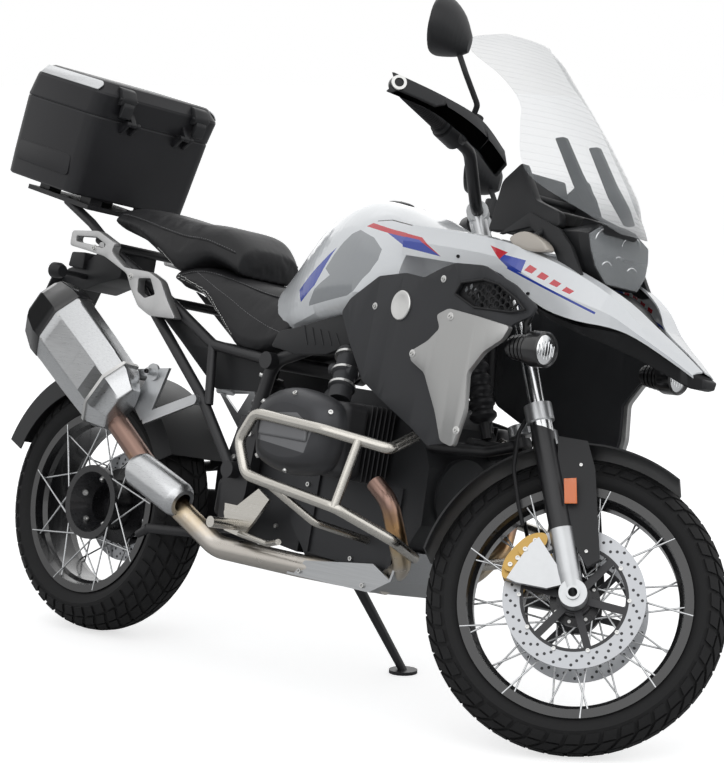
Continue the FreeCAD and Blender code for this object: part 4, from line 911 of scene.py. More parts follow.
def build_seats():
    """Both pads with their piping and stitches."""
    rider = padded_seat("rider_pad", "rider_seat", (
        (-500, [(0, 934), (110, 925), (146, 906), (138, 890), (0, 874)]),
        (-410, [(0, 936), (104, 930), (154, 912), (152, 880), (0, 862)]),
        (-320, [(0, 916), (96, 912), (152, 888), (158, 826), (0, 800)]),
        (-235, [(0, 908), (80, 903), (134, 862), (156, 760), (0, 752)]),
        (-150, [(0, 912), (74, 902), (122, 846), (144, 764), (0, 756)]),
        (-84, [(0, 905), (80, 898), (124, 868), (140, 800), (0, 780)])))
    passenger = padded_seat("passenger_pad", "passenger_seat", (
        (-800, [(0, 1060), (70, 1056), (104, 1036), (100, 1018), (0, 1006)]),
        (-700, [(0, 1062), (86, 1056), (122, 1030), (116, 1002), (0, 980)]),
        (-590, [(0, 1048), (100, 1042), (144, 1010), (136, 962), (0, 940)]),
        (-490, [(0, 1040), (106, 1034), (150, 996), (142, 918), (0, 942)]),
        (-400, [(0, 1034), (100, 1028), (140, 990), (128, 952), (0, 946)]),
        (-325, [(0, 990), (80, 980), (104, 950), (90, 924), (0, 920)])))
    seam = [(-481, -150, 903), (-419, -154, 891), (-362, -158, 872), (-320, -161, 839),
            (-288, -161, 805), (-262, -160, 776)]
    rim_seam = [(-481, -150, 903), (-419, -147, 920), (-325, -119, 910), (-208, -100, 891), (-120, -96, 886)]
    tree = skin_of(rider)
    piped("seat_seam", tree, seam, 1.5, piping_vinyl)
    for offset in (-3.6, 3.6):
        sewn("white_stitches_%d" % (offset > 0), tree, seam, offset, white_thread, WIDE_STITCH)
    piped("rim_seam", tree, rim_seam, 1.7, piping_vinyl)
    sewn("rim_stitches", tree, rim_seam, 3.4, grey_thread)
    sewn("grey_stitches", tree, [(-416, -150, 918), (-348, -157, 892), (-280, -152, 863), (-216, -143, 833),
                                 (-157, -138, 813), (-109, -139, 804)],
         0, grey_thread)
    tree = skin_of(passenger)
    back_seam = [(-780, -100, 1040), (-700, -118, 1034), (-590, -138, 1016), (-490, -146, 1002),
                 (-410, -138, 996), (-345, -104, 976)]
    piped("back_seam", tree, back_seam, 1.7, piping_vinyl, "passenger_seat")
    sewn("back_stitches", tree, back_seam, 3.4, grey_thread, node="passenger_seat")
    sewn("foot_stitches", tree, [(-590, -142, 960), (-540, -145, 938), (-516, -142, 922)], 0, white_thread,
         WIDE_STITCH, "passenger_seat")


# Shrouds, blades and nose
SHROUD_PLAN = [(140, -218), (300, -240), (450, -262), (600, -272), (700, -262), (770, -240)]
CELL_PITCH = 15.5
CELL_RADIUS = 7.6
DUCT = [(522, 934), (535, 959), (599, 971), (640, 965), (694, 938), (718, 918), (684, 910), (585, 910)]


def moved_plan(step):
    return [(x, y + step) for x, y in SHROUD_PLAN]


def in_duct(x, z, margin=5):
    """Whether a point lies this far within the duct's outline."""
    return all((x - a[0]) * (b[1] - a[1]) - (z - a[1]) * (b[0] - a[0]) > margin * math.dist(a, b)
               for a, b in zip(DUCT, DUCT[1:] + DUCT[:1]))


def build_shrouds():
    """Side shrouds, silver panels, and the grilles and rims of their ducts."""
    mesh = bmesh.new()
    panel(mesh, [(150, 866), (172, 898), (260, 955), (351, 968), (416, 962), (467, 986), (507, 1000),
                 (592, 1001), (680, 968), (736, 928), (727, 908), (690, 886), (668, 850), (630, 815),
                 (596, 768), (604, 690), (590, 622), (512, 606), (450, 640), (330, 690), (263, 721),
                 (196, 800)], SHROUD_PLAN, 8, windows=[DUCT], edge=1.6)
    shroud = stand_in(both_sides(mesh), "shroud_skins", shroud_moulding, "shrouds")
    mesh = bmesh.new()
    panel(mesh, [(488, 884), (523, 901), (609, 892), (694, 880), (681, 851), (640, 820), (606, 771),
                 (616, 690), (600, 612), (563, 620), (533, 680), (480, 758), (428, 781), (428, 801),
                 (474, 826), (505, 856)], moved_plan(-14), 14, corner=8, edge=3)
    silver = stand_in(both_sides(mesh), "silver_panels", panel_lacquer, "shroud_panels")
    mesh = bmesh.new()
    cells = []
    for i in range(16):
        for j in range(7):
            x, z = 514 + i * CELL_PITCH * 0.866, 900 + (j + 0.5 * (i % 2)) * CELL_PITCH
            if 518 < x < 722 and in_duct(x, z):
                cells.append([(x + CELL_RADIUS * math.cos(math.radians(60 * k)),
                               z + CELL_RADIUS * math.sin(math.radians(60 * k))) for k in range(6)])
    panel(mesh, [(514, 928), (528, 968), (600, 982), (646, 976), (706, 942), (734, 916), (690, 902),
                 (580, 902)], moved_plan(9), 6, 3, cells, 0)
    shaped(both_sides(mesh), "duct_grilles", grille_moulding, "shrouds")
    mesh = bmesh.new()
    ring = DUCT + DUCT[:1]
    for (x0, z0), (x1, z1) in zip(ring, ring[1:]):
        y0, y1 = (-274 + abs(x - 600) * 0.05 for x in (x0, x1))
        bar(mesh, (x0, y0, z0), (x1, y1, z1), 2.6, sides=8)
    shaped(both_sides(mesh), "duct_rims", piping_vinyl, "shrouds")
    return shroud, silver


def build_blades():
    """The white blades of the beak and the dark nose under them."""
    rings = []
    for x, top, low, w, inner in ((296, 1078, 1010, 217, 150), (420, 1076, 1006, 208, 148),
                                  (544, 1066, 1000, 193, 140), (602, 1054, 974, 185, 130),
                                  (678, 1034, 934, 166, 112), (750, 1008, 918, 142, 88),
                                  (821, 971, 914, 114, 50), (876, 926, 900, 90, 12), (950, 882, 864, 58, 6),
                                  (1000, 850, 837, 38, 4)):
        lean = min(22.0, 0.4 * (w - inner))
        skin = 3.0 if x > 900 else 5.0
        mid = low + 0.45 * (top - low)
        rings.append([(x, -w + 4, low), (x, -w, mid), (x, -w + lean, top), (x, -inner, top + 4),
                      (x, -inner, top + 4 - skin), (x, -w + lean + 1, top - skin), (x, -w + skin, mid),
                      (x, -w + 4 + skin, low)])
    mesh = bmesh.new()
    drawn(mesh, through(rings, 3))
    blades = stand_in(both_sides(mesh), "white_blades", blade_lacquer, "beak", crease=24)
    mesh = bmesh.new()
    drawn(mesh, through([[(x, -half, top), (x, half, top), (x, half * 0.82, low), (x, -half * 0.82, low)]
                         for x, half, top, low in (
        (600, 158, 950, 932), (730, 130, 912, 896), (800, 112, 908, 880), (878, 82, 902, 857),
        (950, 52, 868, 830), (992, 36, 846, 815), (1024, 20, 836, 819))], 3))
    soften(mesh, 4, 45, 3)
    wedge = bmesh.new()
    drawn(wedge, [[(x, -half, top - 8), (x, 0, top), (x, half, top - 8), (x, half, 896), (x, -half, 896)]
                  for x, half, top in ((724, 84, 1004), (797, 52, 974), (846, 26, 946), (874, 10, 912))])
    soften(wedge, 2.5, 30)
    join(mesh, wedge)
    stand_in(mesh, "under_nose", black_moulding, "beak_nose")
    return blades


# Lamps, cowl and screen
LAMP_FACE = [(-62, 1135), (62, 1135), (110, 1109), (106, 1077), (92, 1040), (58, 1004), (-58, 1004),
             (-92, 1040), (-106, 1077), (-110, 1109)]


LAMP_MIDDLE = 1072
LAMP_LEAN = 0.26


def lamp_ring(x, k):
    return [(x + (LAMP_MIDDLE - z) * LAMP_LEAN, y * k, LAMP_MIDDLE + (z - LAMP_MIDDLE) * k)
            for y, z in LAMP_FACE]


def build_headlamp():
    """Lamp housing, bowls, cover and the front indicators."""
    mesh = bmesh.new()
    drawn(mesh, [lamp_ring(x, k) for x, k in (
        (606, 0.7), (650, 0.94), (704, 1.0), (728, 0.97), (728, 0.91), (684, 0.84))])
    stand_in(mesh, "lamp_housing", black_moulding, "headlamp")
    bowls, lenses = bmesh.new(), bmesh.new()
    for y, z, r in ((-46, 1092, 34), (-44, 1036, 20), (46, 1090, 34), (44, 1036, 20), (0, 1060, 13)):
        spot = (726 + (LAMP_MIDDLE - z) * LAMP_LEAN, y, z)
        lathe(bowls, [(0, -36), (r * 0.5, -33), (r * 0.8, -20), (r * 0.97, -3), (r, 0), (r + 2, -1),
                      (r + 1, -8), (r * 0.6, -37), (0, -38)], spot, (1, 0, 0), 40)
        lathe(lenses, [(0, -12), (r * 0.3, -14), (r * 0.5, -20), (r * 0.56, -32), (0, -32)], spot, (1, 0, 0),
              32)
    shaped(bowls, "lamp_reflectors", mirror_chrome, "headlamp")
    shaped(lenses, "lamp_projectors", clear_lens, "headlamp")
    mesh = bmesh.new()
    drawn(mesh, [lamp_ring(729, 0.95), lamp_ring(733, 0.93)])
    soften(mesh, 1.2, 40)
    shaped(mesh, "lamp_cover", lamp_cover, "headlamp")
    mesh = bmesh.new()
    leaf = eased([(555, 0, 1074), (575, 0, 1088), (604, 0, 1092), (645, 0, 1077), (664, 0, 1058),
                  (640, 0, 1052), (606, 0, 1052), (572, 0, 1060)], 3)
    slab(mesh, [(p.x, p.z) for p in leaf], -166, -138, 3)
    shaped(both_sides(mesh), "indicator_lenses", clear_lens, "headlamp")
    mesh = bmesh.new()
    bar(mesh, (606, -116, 1104), (604, -146, 1082), 7)
    slab(mesh, [(563, 1072), (603, 1087), (652, 1064), (606, 1056)], -141, -134, 2)
    shaped(both_sides(mesh), "indicator_stalks", black_moulding, "headlamp")


FOG_LAMP = (716, -232, 842)
FOG_AIM = (1, 0, 0.04)


def build_fog_lamps():
    """Auxiliary lamps with ribbed bodies."""
    profile = [(0, -48), (20, -48), (20, -40)]
    for k in range(4):
        s = -38 + 12 * k
        profile += [(26 + 2 * k, s), (26 + 2 * k, s + 7), (21 + 2 * k, s + 7), (21 + 2 * k, s + 12)]
    profile += [(36, 10), (38, 16), (38, 48), (35, 52), (33, 46), (0, 44)]
    mesh = bmesh.new()
    lathe(mesh, profile, FOG_LAMP, FOG_AIM, 40)
    swept(mesh, [(704, -232, 870), (704, -238, 892), (720, -246, 918)], 8, 10)
    stand_in(both_sides(mesh), "fog_lamp_bodies", black_lacquer, "fog_lamps")
    mesh = bmesh.new()
    lathe(mesh, [(0, 50), (12, 49.5), (24, 48), (31, 46), (32, 43), (0, 43)], FOG_LAMP, FOG_AIM, 40)
    for k in range(6):
        y, half = -254 + 9 * k, 20 - abs(k - 2.5) * 4
        bar(mesh, (765.5, y, 842 - half), (765.5, y, 844 + half), 1.1, sides=6)
    shaped(both_sides(mesh), "fog_lamp_lenses", mirror_chrome, "fog_lamps")


def dash_outline(rear, front, half):
    """The leaning dash from its side."""
    lean = Matrix.Rotation(math.radians(-24), 3, "Y")
    corners = [lean @ Vector((x, 0, z))
               for x, z in ((rear, -half), (front, -half), (front, half), (rear, half))]
    return [(corner.x + 486, corner.z + 1192) for corner in corners]


def build_cowl():
    """Cockpit cowl with its screen posts and the dash."""
    mesh = bmesh.new()
    drawn(mesh, through([[(x, -half, low + 6), (x, -half * 0.86, top), (x, half * 0.86, top),
                          (x, half, low + 6), (x, half * 0.8, low), (x, -half * 0.8, low)]
                         for x, half, top, low in ((462, 96, 1128, 1092), (560, 100, 1152, 1104),
                                                   (660, 88, 1146, 1112), (724, 60, 1132, 1114))], 3))
    soften(mesh, 4, 40)
    sides = bmesh.new()
    panel(sides, [(448, 1090), (466, 1203), (514, 1247), (568, 1168), (640, 1146), (648, 1116), (560, 1096)],
          plain_plan(-118), 24, 8, edge=3)
    panel(sides, [(487, 1085), (565, 1139), (650, 1111), (693, 1074), (728, 1022), (742, 1004), (712, 998),
                  (689, 1008), (652, 1058), (571, 1108)],
          plain_plan(-124), 12, 3, edge=2)
    panel(sides, [(548, 1312), (574, 1316), (636, 1238), (684, 1186), (706, 1150), (684, 1146), (626, 1206)],
          plain_plan(-66), 14, 5, edge=2)
    both_sides(sides)
    join(mesh, sides)
    bar(mesh, (500, -100, 1180), (500, 100, 1180), 9)
    slab(mesh, dash_outline(-10, 10, 44), -82, 82, 5)
    stand_in(mesh, "cockpit_cowl", black_moulding, "cockpit")
    mesh = bmesh.new()
    slab(mesh, dash_outline(-11.2, -8, 36), -74, 74, 1)
    shaped(mesh, "dash_screen", black_lacquer, "cockpit")


SCREEN_WALL = 4


def build_screen():
    """The clear screen: an arc at each height."""
    rings = []
    for x, z, half, sag in ((766, 1118, 46, 5), (724, 1156, 112, 32), (699, 1200, 178, 88),
                            (662, 1245, 190, 92), (600, 1320, 163, 72), (551, 1375, 141, 54),
                            (496, 1429, 149, 60), (447, 1474, 176, 82), (414, 1508, 160, 72),
                            (384, 1535, 78, 17)):
        bend = (half * half + sag * sag) / (2 * sag)
        reach = math.asin(half / bend)
        turns = [reach * (k / 8 - 1) for k in range(17)]
        rings.append([(x - bend + far * math.cos(a), far * math.sin(a), z)
                      for far, line in ((bend, turns), (bend - SCREEN_WALL, turns[::-1])) for a in line])
    mesh = bmesh.new()
    drawn(mesh, through(rings, 4))
    return stand_in(mesh, "clear_screen", clear_plastic, "windscreen", crease=50)


# Silencer, guards and handles
def build_silencer():
    """Silencer can, end cap, bands and the sleeve of the link pipe."""
    a, b = Vector((-548, -210, 570)), Vector((-800, -216, 737))
    along = (b - a).normalized()
    side = Vector((0, 1, 0))
    up = (along.cross(side) * -1).normalized()
    hexagon = [(-56, -34), (-52, 44), (-16, 96), (30, 92), (48, 30), (46, -52), (8, -98), (-30, -88)]

    def ring(share, k):
        return [a.lerp(b, share) + side * (s * k) + up * (u * k) for s, u in hexagon]

    mesh = bmesh.new()
    drawn(mesh, [ring(share, k) for share, k in ((-0.06, 0.66), (0.1, 0.95), (0.5, 1.0), (1.0, 1.02))])
    soften(mesh, 4, 14, 3)
    stand_in(mesh, "silencer_can", can_steel, "silencer", crease=40)
    mesh = bmesh.new()
    drawn(mesh, [ring(share, k) for share, k in (
        (0.97, 1.045), (1.07, 1.06), (1.24, 0.9), (1.3, 0.7), (1.3, 0.5), (1.14, 0.46))])
    soften(mesh, 3, 20)
    shaped(mesh, "silencer_end_cap", black_lacquer, "silencer")
    mesh = bmesh.new()
    lathe(mesh, [(24, -40), (28, -40), (28, 4), (24, 6)], a.lerp(b, 1.3), along, 32)
    for share in (0.14, 0.92):
        drawn(mesh, [ring(share, 1.005 + 0.01 * share), ring(share + 0.03, 1.008 + 0.01 * share)])
    shaped(mesh, "silencer_bands", screw_steel, "silencer")
    a, b = Vector((-276, -186, 366)), Vector((-468, -206, 440))
    run = (b - a).length
    mesh = bmesh.new()
    lathe(mesh, [(23, 16), (34, 16), (42, 26), (44, 34), (44, run - 34), (42, run - 26), (34, run - 14),
                 (23, run - 14)], a, b - a, 40)
    shaped(mesh, "link_pipe_sleeve", can_steel, "exhaust_pipes")


def build_guards():
    """Engine guards."""
    mesh = bmesh.new()
    swept(mesh, [(376, -126, 636), (450, -310, 585), (300, -371, 602), (92, -374, 612), (52, -371, 546),
                 (94, -374, 474), (376, -369, 442), (448, -252, 392), (392, -112, 356)], 12.5, 38, 20)
    bar(mesh, (386, -344, 592), (372, -369, 443), 10)
    swept(mesh, [(150, -372, 470), (226, -270, 396), (250, -112, 372)], 9, 30, 16)
    stand_in(both_sides(mesh), "guard_tubes", guard_steel, "crash_bars")


def build_handles():
    """Grab handles with their windows."""
    mesh = bmesh.new()
    panel(mesh, [(-877, 982), (-877, 944), (-816, 937), (-739, 927), (-646, 892), (-620, 854), (-585, 816),
                 (-538, 797), (-444, 799), (-484, 841), (-520, 886), (-565, 903), (-658, 906), (-716, 938),
                 (-708, 962), (-776, 988)], plain_plan(-172), 24, 8,
          windows=[[(-858, 970), (-856, 956), (-800, 952), (-748, 946), (-740, 956), (-780, 972)],
                   [(-600, 884), (-556, 888), (-530, 850), (-566, 838), (-596, 852)]], edge=4)
    for x, z in ((-628, 886), (-782, 952)):
        bar(mesh, (x, -150, z), (x, -114, z), 11)
    return stand_in(both_sides(mesh), "grab_castings", grab_casting, "grab_handles")


def build_side_covers():
    """Covers under the tank and beside the rear frame."""
    mesh = bmesh.new()
    panel(mesh, [(-78, 806), (-27, 819), (57, 846), (133, 869), (170, 872), (190, 815), (86, 768), (-13, 758),
                 (-96, 768)], plain_plan(-180), 20, 6, edge=3)
    for k in range(5):
        bar(mesh, (2 + 26 * k, -180.5, 826 - k * 2), (20 + 26 * k, -180.5, 784 + k * 2), 1.6, sides=8)
    panel(mesh, [(-690, 886), (-520, 832), (-330, 744), (-130, 728), (-176, 660), (-330, 650), (-480, 752)],
          plain_plan(-110), 8, 8, edge=2)
    stand_in(both_sides(mesh), "cover_panels", black_moulding, "side_covers")


def build_intakes():
    """The throats between the air box and the heads, with their clamps."""
    a, b = Vector((138, -160, 782)), Vector((190, -222, 668))
    run = (b - a).length
    mesh = bmesh.new()
    lathe(mesh, [(0, 0), (27, 0), (27, 14), (25, 18), (25, 52), (29, 54), (29, 66), (25, 70), (25, 90),
                 (30, 94), (30, 106), (26, 110), (26, run), (0, run)],
          a, b - a, 32)
    bar(mesh, a.lerp(b, 0.4) + Vector((-36, -6, 0)), a.lerp(b, 0.4) + Vector((32, -6, 0)), 15, chamfer=2)
    shaped(both_sides(mesh), "intake_throats", engine_casting, "engine")
    mesh = bmesh.new()
    for s in (16, 60, 100):
        lathe(mesh, [(25, s - 3), (31.2, s - 3), (31.2, s + 3), (25, s + 3)], a, b - a, 32)
    shaped(both_sides(mesh), "intake_clamps", screw_steel, "engine")


# Handlebar
MIRROR_Y, MIRROR_Z = -408, 1394


def bar_point(share):
    a, b = Vector((290, -215, 1200)), Vector((166, -452, 1214))
    return a.lerp(b, share)


def build_bar_ends():
    """Hand guards, bar-end rings, mirrors and grip ribs."""
    mesh = bmesh.new()
    tip = bar_point(1.0) + (bar_point(1) - bar_point(0)).normalized() * 27
    lower = [tip + Vector((-12, -12, -26)), Vector((250, -446, 1180)), Vector((330, -392, 1150)),
             Vector((384, -318, 1120))]
    rings = []
    for p, high in zip(lower, (46, 44, 62, 62)):
        rings.append([(p.x, p.y, p.z), (p.x + 14, p.y, p.z + high / 2), (p.x, p.y, p.z + high),
                      (p.x - 7, p.y, p.z + high), (p.x + 7, p.y, p.z + high / 2), (p.x - 7, p.y, p.z)])
    drawn(mesh, through(rings, 6))
    soften(mesh, 1.5, 40)
    bar(mesh, tip - Vector((3, -10, 0)), tip + Vector((4, -12, 0)), 20, 17, 28, 2)
    stand_in(both_sides(mesh), "hand_guard_shells", black_moulding, "hand_guards", "fork")
    mesh = bmesh.new()
    lathe(mesh, [(10, -2), (16, -2), (17, 0), (16, 2.4), (10, 2.4)], tip + Vector((4, -12, 0)),
          (0.28, -0.96, 0), 32)
    shaped(both_sides(mesh), "bar_end_rings", screw_steel, "hand_guards", "fork")
    mesh = bmesh.new()
    swept(mesh, [tuple(bar_point(0.12)), (302, -338, 1262), (268, -392, 1306), (238, -404, 1352),
                 (226, -406, 1372)], 6.5, 16)
    corners = [(0.98, 0.0), (0.86, 0.62), (0.3, 1.0), (-0.5, 0.86), (-1.0, 0.1), (-0.82, -0.7), (-0.1, -1.0),
               (0.7, -0.7)]
    rings = [eased([(x, MIRROR_Y + wide * c, z + high * s) for c, s in corners], 4)
             for x, wide, high, z in ((178, 80, 60, MIRROR_Z), (188, 84, 64, MIRROR_Z), (214, 74, 58, 1390),
                                      (240, 50, 44, 1380), (262, 18, 20, 1366))]
    drawn(mesh, through(rings, 3))
    bar(mesh, bar_point(0.12) - Vector((0, 0, 4)), bar_point(0.12) + Vector((0, 0, 24)), 12, chamfer=2)
    stand_in(both_sides(mesh), "mirror_heads", black_moulding, "mirrors", "fork")
    mesh = bmesh.new()
    drawn(mesh, [eased([(x, MIRROR_Y + 74 * c, MIRROR_Z + 54 * s) for c, s in corners], 4)
                 for x in (176.5, 179)])
    shaped(both_sides(mesh), "mirror_glasses", mirror_chrome, "mirrors", "fork")
    mesh = bmesh.new()
    a, b = bar_point(0.47), bar_point(0.98)
    for k in range(22):
        spot = a.lerp(b, (k + 0.5) / 22)
        bar(mesh, spot, spot + (b - a).normalized() * 3.0, 18.2, chamfer=0.7, sides=24)
    shaped(both_sides(mesh), "grip_ribs", grip_rubber, "controls", "fork")


# Tyres
BLOCK_HEIGHT = 7.2
BLOCK_ROOT = 2
BELT = 5.5


def build_tyre(node, body, axle, radius, crown, bead, bead_half, rows, count):
    """A hollow carcass with rows of tread blocks bent round it."""
    middle, inner = radius - crown, crown - BELT
    half = math.radians(66)
    shoulder = Vector((middle + inner * math.cos(half), inner * math.sin(half)))
    lip = Vector((bead + 11, bead_half))
    wall = []
    for k in range(1, 9):
        t = k / 9
        spot = shoulder.lerp(lip, t)
        swell = 6.0 * math.sin(math.pi * t) + (1.2 if k in (2, 6) else 0)
        wall.append((spot.x + swell * 0.25, spot.y + swell))
    right = [(middle + inner * math.cos(half * k / 12), inner * math.sin(half * k / 12)) for k in range(13)]
    side = right + wall + [tuple(lip), (bead, bead_half - 1)]
    hollow = [(bead, bead_half - 8), (bead + 12, bead_half - 4), (shoulder.x - 6, shoulder.y - 10),
              (middle + inner - 9, inner * 0.45)]
    outer = [(r, -s) for r, s in reversed(side[1:])] + side
    loop = outer + hollow + [(r, -s) for r, s in reversed(hollow)]
    mesh = bmesh.new()
    lathe(mesh, loop + loop[:1], axle, (0, 1, 0), 96)
    flat = bmesh.new()
    for low, high, share, skew, phase in rows:
        made = bmesh.ops.create_grid(flat, x_segments=1, y_segments=3, size=0.5)["verts"]
        for vert in made:
            x, y = vert.co.x, vert.co.y
            vert.co = (x * share + phase + skew * y, low + (high - low) * (y + 0.5), -BLOCK_ROOT)
    grown = bmesh.ops.extrude_face_region(flat, geom=flat.faces[:], use_keep_orig=True)["geom"]
    bmesh.ops.translate(flat, verts=verts_of(grown), vec=(0, 0, BLOCK_HEIGHT))
    first = whole(flat)
    for k in range(1, count):
        copy = bmesh.ops.duplicate(flat, geom=first)["geom"]
        bmesh.ops.translate(flat, verts=verts_of(copy), vec=(k, 0, 0))
    for vert in flat.verts:
        turn, lean, lift = vert.co.x * math.tau / count, math.radians(vert.co.y), vert.co.z
        far = middle + (inner + lift) * math.cos(lean)
        vert.co = (axle.x + far * math.sin(turn), (inner + lift) * math.sin(lean),
                   axle.z + far * math.cos(turn))
    bmesh.ops.recalc_face_normals(flat, faces=flat.faces)
    join(mesh, flat)
    stand_in(mesh, node + "_tread", tyre_rubber, node, body)


def build_tyres():
    build_tyre("front_tyre", "front_wheel", FRONT_AXLE, 325, 62, 241, 43, (
        (-65, -46, 0.74, 0.20, 0.05), (-41, -20, 0.72, 0.62, 0.5), (-15, 15, 0.80, 0.0, 0.0),
        (20, 41, 0.72, -0.62, 0.5), (46, 65, 0.74, -0.20, 0.05)), 48)
    build_tyre("rear_tyre", "rear_wheel", REAR_AXLE, 318, 90, 216, 60, (
        (-65, -49, 0.74, 0.15, 0.0), (-45, -29, 0.72, 0.5, 0.5), (-25, -7, 0.76, 0.5, 0.1),
        (-3.5, 3.5, 0.86, 0.0, 0.4), (7, 25, 0.76, -0.5, 0.1), (29, 45, 0.72, -0.5, 0.5),
        (49, 65, 0.74, -0.15, 0.0)), 46)


# Top case, drawn level at its front lower edge and then tilted
CASE = CHASSIS @ Matrix.Translation((-861, 0, 1068)) @ Matrix.Rotation(math.radians(9), 4, "Y")


def rounded_ring(z, rear, front, half, r):
    ring = []
    for cx, cy, turn in ((front - r, half - r, 0), (rear + r, half - r, 90), (rear + r, r - half, 180),
                         (front - r, r - half, 270)):
        ring += [(cx + r * math.cos(math.radians(turn + a)), cy + r * math.sin(math.radians(turn + a)), z)
                 for a in (0, 22.5, 45, 67.5, 90)]
    return ring


CASE_HINGE = (19, 205.3)


def build_case():
    """Case tub and lid with their hinges, side rails and clasps."""
    hinge_x, hinge_z = CASE_HINGE
    mesh = bmesh.new()
    drawn(mesh, [rounded_ring(*level) for level in (
        (0, -296, -22, 190, 30), (4, -301, -18, 196, 36), (60, -301, -14, 199, 36), (201, -299, -2, 205, 38),
        (205, -298, -3, 204, 37), (205, -295, -6, 201, 34), (6, -297, -22, 192, 32))])
    for y in (-92, 92):
        for y0, y1 in ((y - 22, y - 9.5), (y + 9.5, y + 22)):
            bar(mesh, (hinge_x, y0, hinge_z), (hinge_x, y1, hinge_z), 7, chamfer=1)
            slab(mesh, [(-8, 176), (-8, 201), (19, 209), (24, 203), (4, 180)], y0 + 1, y1 - 1, 1)
        bar(mesh, (hinge_x, y - 22.5, hinge_z), (hinge_x, y + 22.5, hinge_z), 2.9)
    for y in (-201.5, 198.5):
        panel(mesh, [(-262, 40), (-262, 92), (-52, 92), (-46, 40)], plain_plan(y), 3, 10, edge=1)
    stand_in(mesh, "case_shell", case_moulding, "case_tub", matrix=CASE)
    mesh = bmesh.new()
    drawn(mesh, [rounded_ring(*level) for level in (
        (296, -256, -14, 178, 32), (293, -262, -9, 183, 34), (268, -281, 8, 205, 38), (262, -283, 9, 206.5, 38),
        (210, -299.5, -1, 205, 38), (206, -298.5, -2, 204, 37), (206, -295, -5, 201, 34),
        (262, -279, 5, 203, 34), (290, -260, -11, 180, 30))])
    for y in (-92, 92):
        bar(mesh, (hinge_x, y - 9, hinge_z), (hinge_x, y + 9, hinge_z), 7, chamfer=1)
        slab(mesh, [(-4, 230), (2, 236), (24, 210), (20, 202), (10, 206)], y - 8, y + 8, 1)
    stand_in(mesh, "case_cover", case_moulding, "case_lid", "case_lid", CASE)
    mesh = bmesh.new()
    for side in (-1, 1):
        rail = bmesh.new()
        panel(rail, [(-252, -15), (-252, 15), (-26, 15), (-14, 6), (-14, -15)], plain_plan(-1.6), 3.2, 5,
              edge=0.8)
        lean = Matrix.Rotation(side * math.radians(41), 4, "X")
        bmesh.ops.transform(rail, matrix=Matrix.Translation((0, side * 194.5, 280.5)) @ lean, verts=rail.verts)
        join(mesh, rail)
    shaped(mesh, "lid_rails", can_steel, "case_lid", "case_lid", CASE)
    mesh = bmesh.new()
    for y in (-125, 125):
        panel(mesh, [(-12, 246), (-16, 292), (10, 288), (25, 266), (21, 246)], plain_plan(y - 24), 48, 6,
              edge=3)
        panel(mesh, [(14, 214), (14, 252), (24, 256), (28, 246), (24, 216)], plain_plan(y - 17), 34, 3,
              edge=2)
        bar(mesh, (18, y - 29, 262), (18, y + 29, 262), 4, chamfer=1)
    shaped(mesh, "lid_clasps", black_moulding, "case_lid", "case_lid", CASE)


def build_tail():
    """Tail unit, its red lens, the rear indicators and the blank plate."""
    mesh = bmesh.new()
    panel(mesh, [(-800, 958), (-890, 950), (-948, 912), (-1012, 892), (-1066, 772), (-1046, 768), (-996, 852),
                 (-930, 842), (-880, 862), (-800, 884)],
          plain_plan(-56), 112, 8, edge=4)
    panel(mesh, [(-936, 894), (-936, 938), (-990, 936), (-996, 898)], plain_plan(-68), 136, 5, edge=4)
    for side in (-1, 1):
        bar(mesh, (-931, side * 50, 876), (-931, side * 138, 878), 7)
        lathe(mesh, [(0, 0), (15, 0), (20, 12), (20, 34), (18, 36), (0, 36)], (-906, side * 156, 878),
              (-1, 0, 0), 32)
        bar(mesh, (-930, side * 132, 878), (-930, side * 142, 878), 10, chamfer=2)
    panel(mesh, [(-1066, 764), (-1071, 766), (-1024, 874), (-1019, 872)], plain_plan(-88), 176, 0.8, edge=0.8)
    stand_in(mesh, "tail_unit", black_moulding, "tail")
    mesh = bmesh.new()
    panel(mesh, [(-988, 901), (-986, 931), (-996, 930), (-1002, 903)], plain_plan(-62), 124, 3, edge=2.5)
    for k in range(5):
        bar(mesh, (-1001.5, -44 + 22 * k, 906), (-995.5, -44 + 22 * k, 928), 1.2, sides=8)
    shaped(mesh, "tail_lens", red_lens, "tail")
    mesh = bmesh.new()
    for side in (-1, 1):
        lathe(mesh, [(0, 43), (8, 42), (15, 39), (17.5, 35), (0, 35)], (-906, side * 156, 878), (-1, 0, 0),
              32)
    shaped(mesh, "rear_indicator_lenses", clear_lens, "tail")
    mesh = bmesh.new()
    panel(mesh, [(-1071.5, 768), (-1073.5, 769), (-1028, 873), (-1026, 872)], plain_plan(-85), 170, 0.5,
          edge=0.4)
    shaped(mesh, "blank_plate", plate_enamel, "tail")
    mesh = bmesh.new()
    for y in (-52, 52):
        socket_bolt(mesh, (-1036.5, y, 853), (-0.92, 0, 0.39), 4.5, 2.4)
    shaped(mesh, "plate_screws", screw_steel, "tail")


def seated(name, piece, spots, radius, finish, body="chassis", slot=None, washer=0.0):
    """Screws where lines from each side meet a piece's skin."""
    tree = skin_of(piece)
    mesh = bmesh.new()
    for x, z in spots:
        for side in (-1, 1):
            found = landing(tree, (x, side * 600, z), (0, -side, 0), parking(body))
            if found:
                foot, out = found
                if washer:
                    bar(mesh, foot - out, foot + out * 0.9, radius + washer, sides=20, chamfer=0.3)
                socket_bolt(mesh, foot, out, radius)
    shaped(mesh, name, finish, slot or piece["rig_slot"], body)


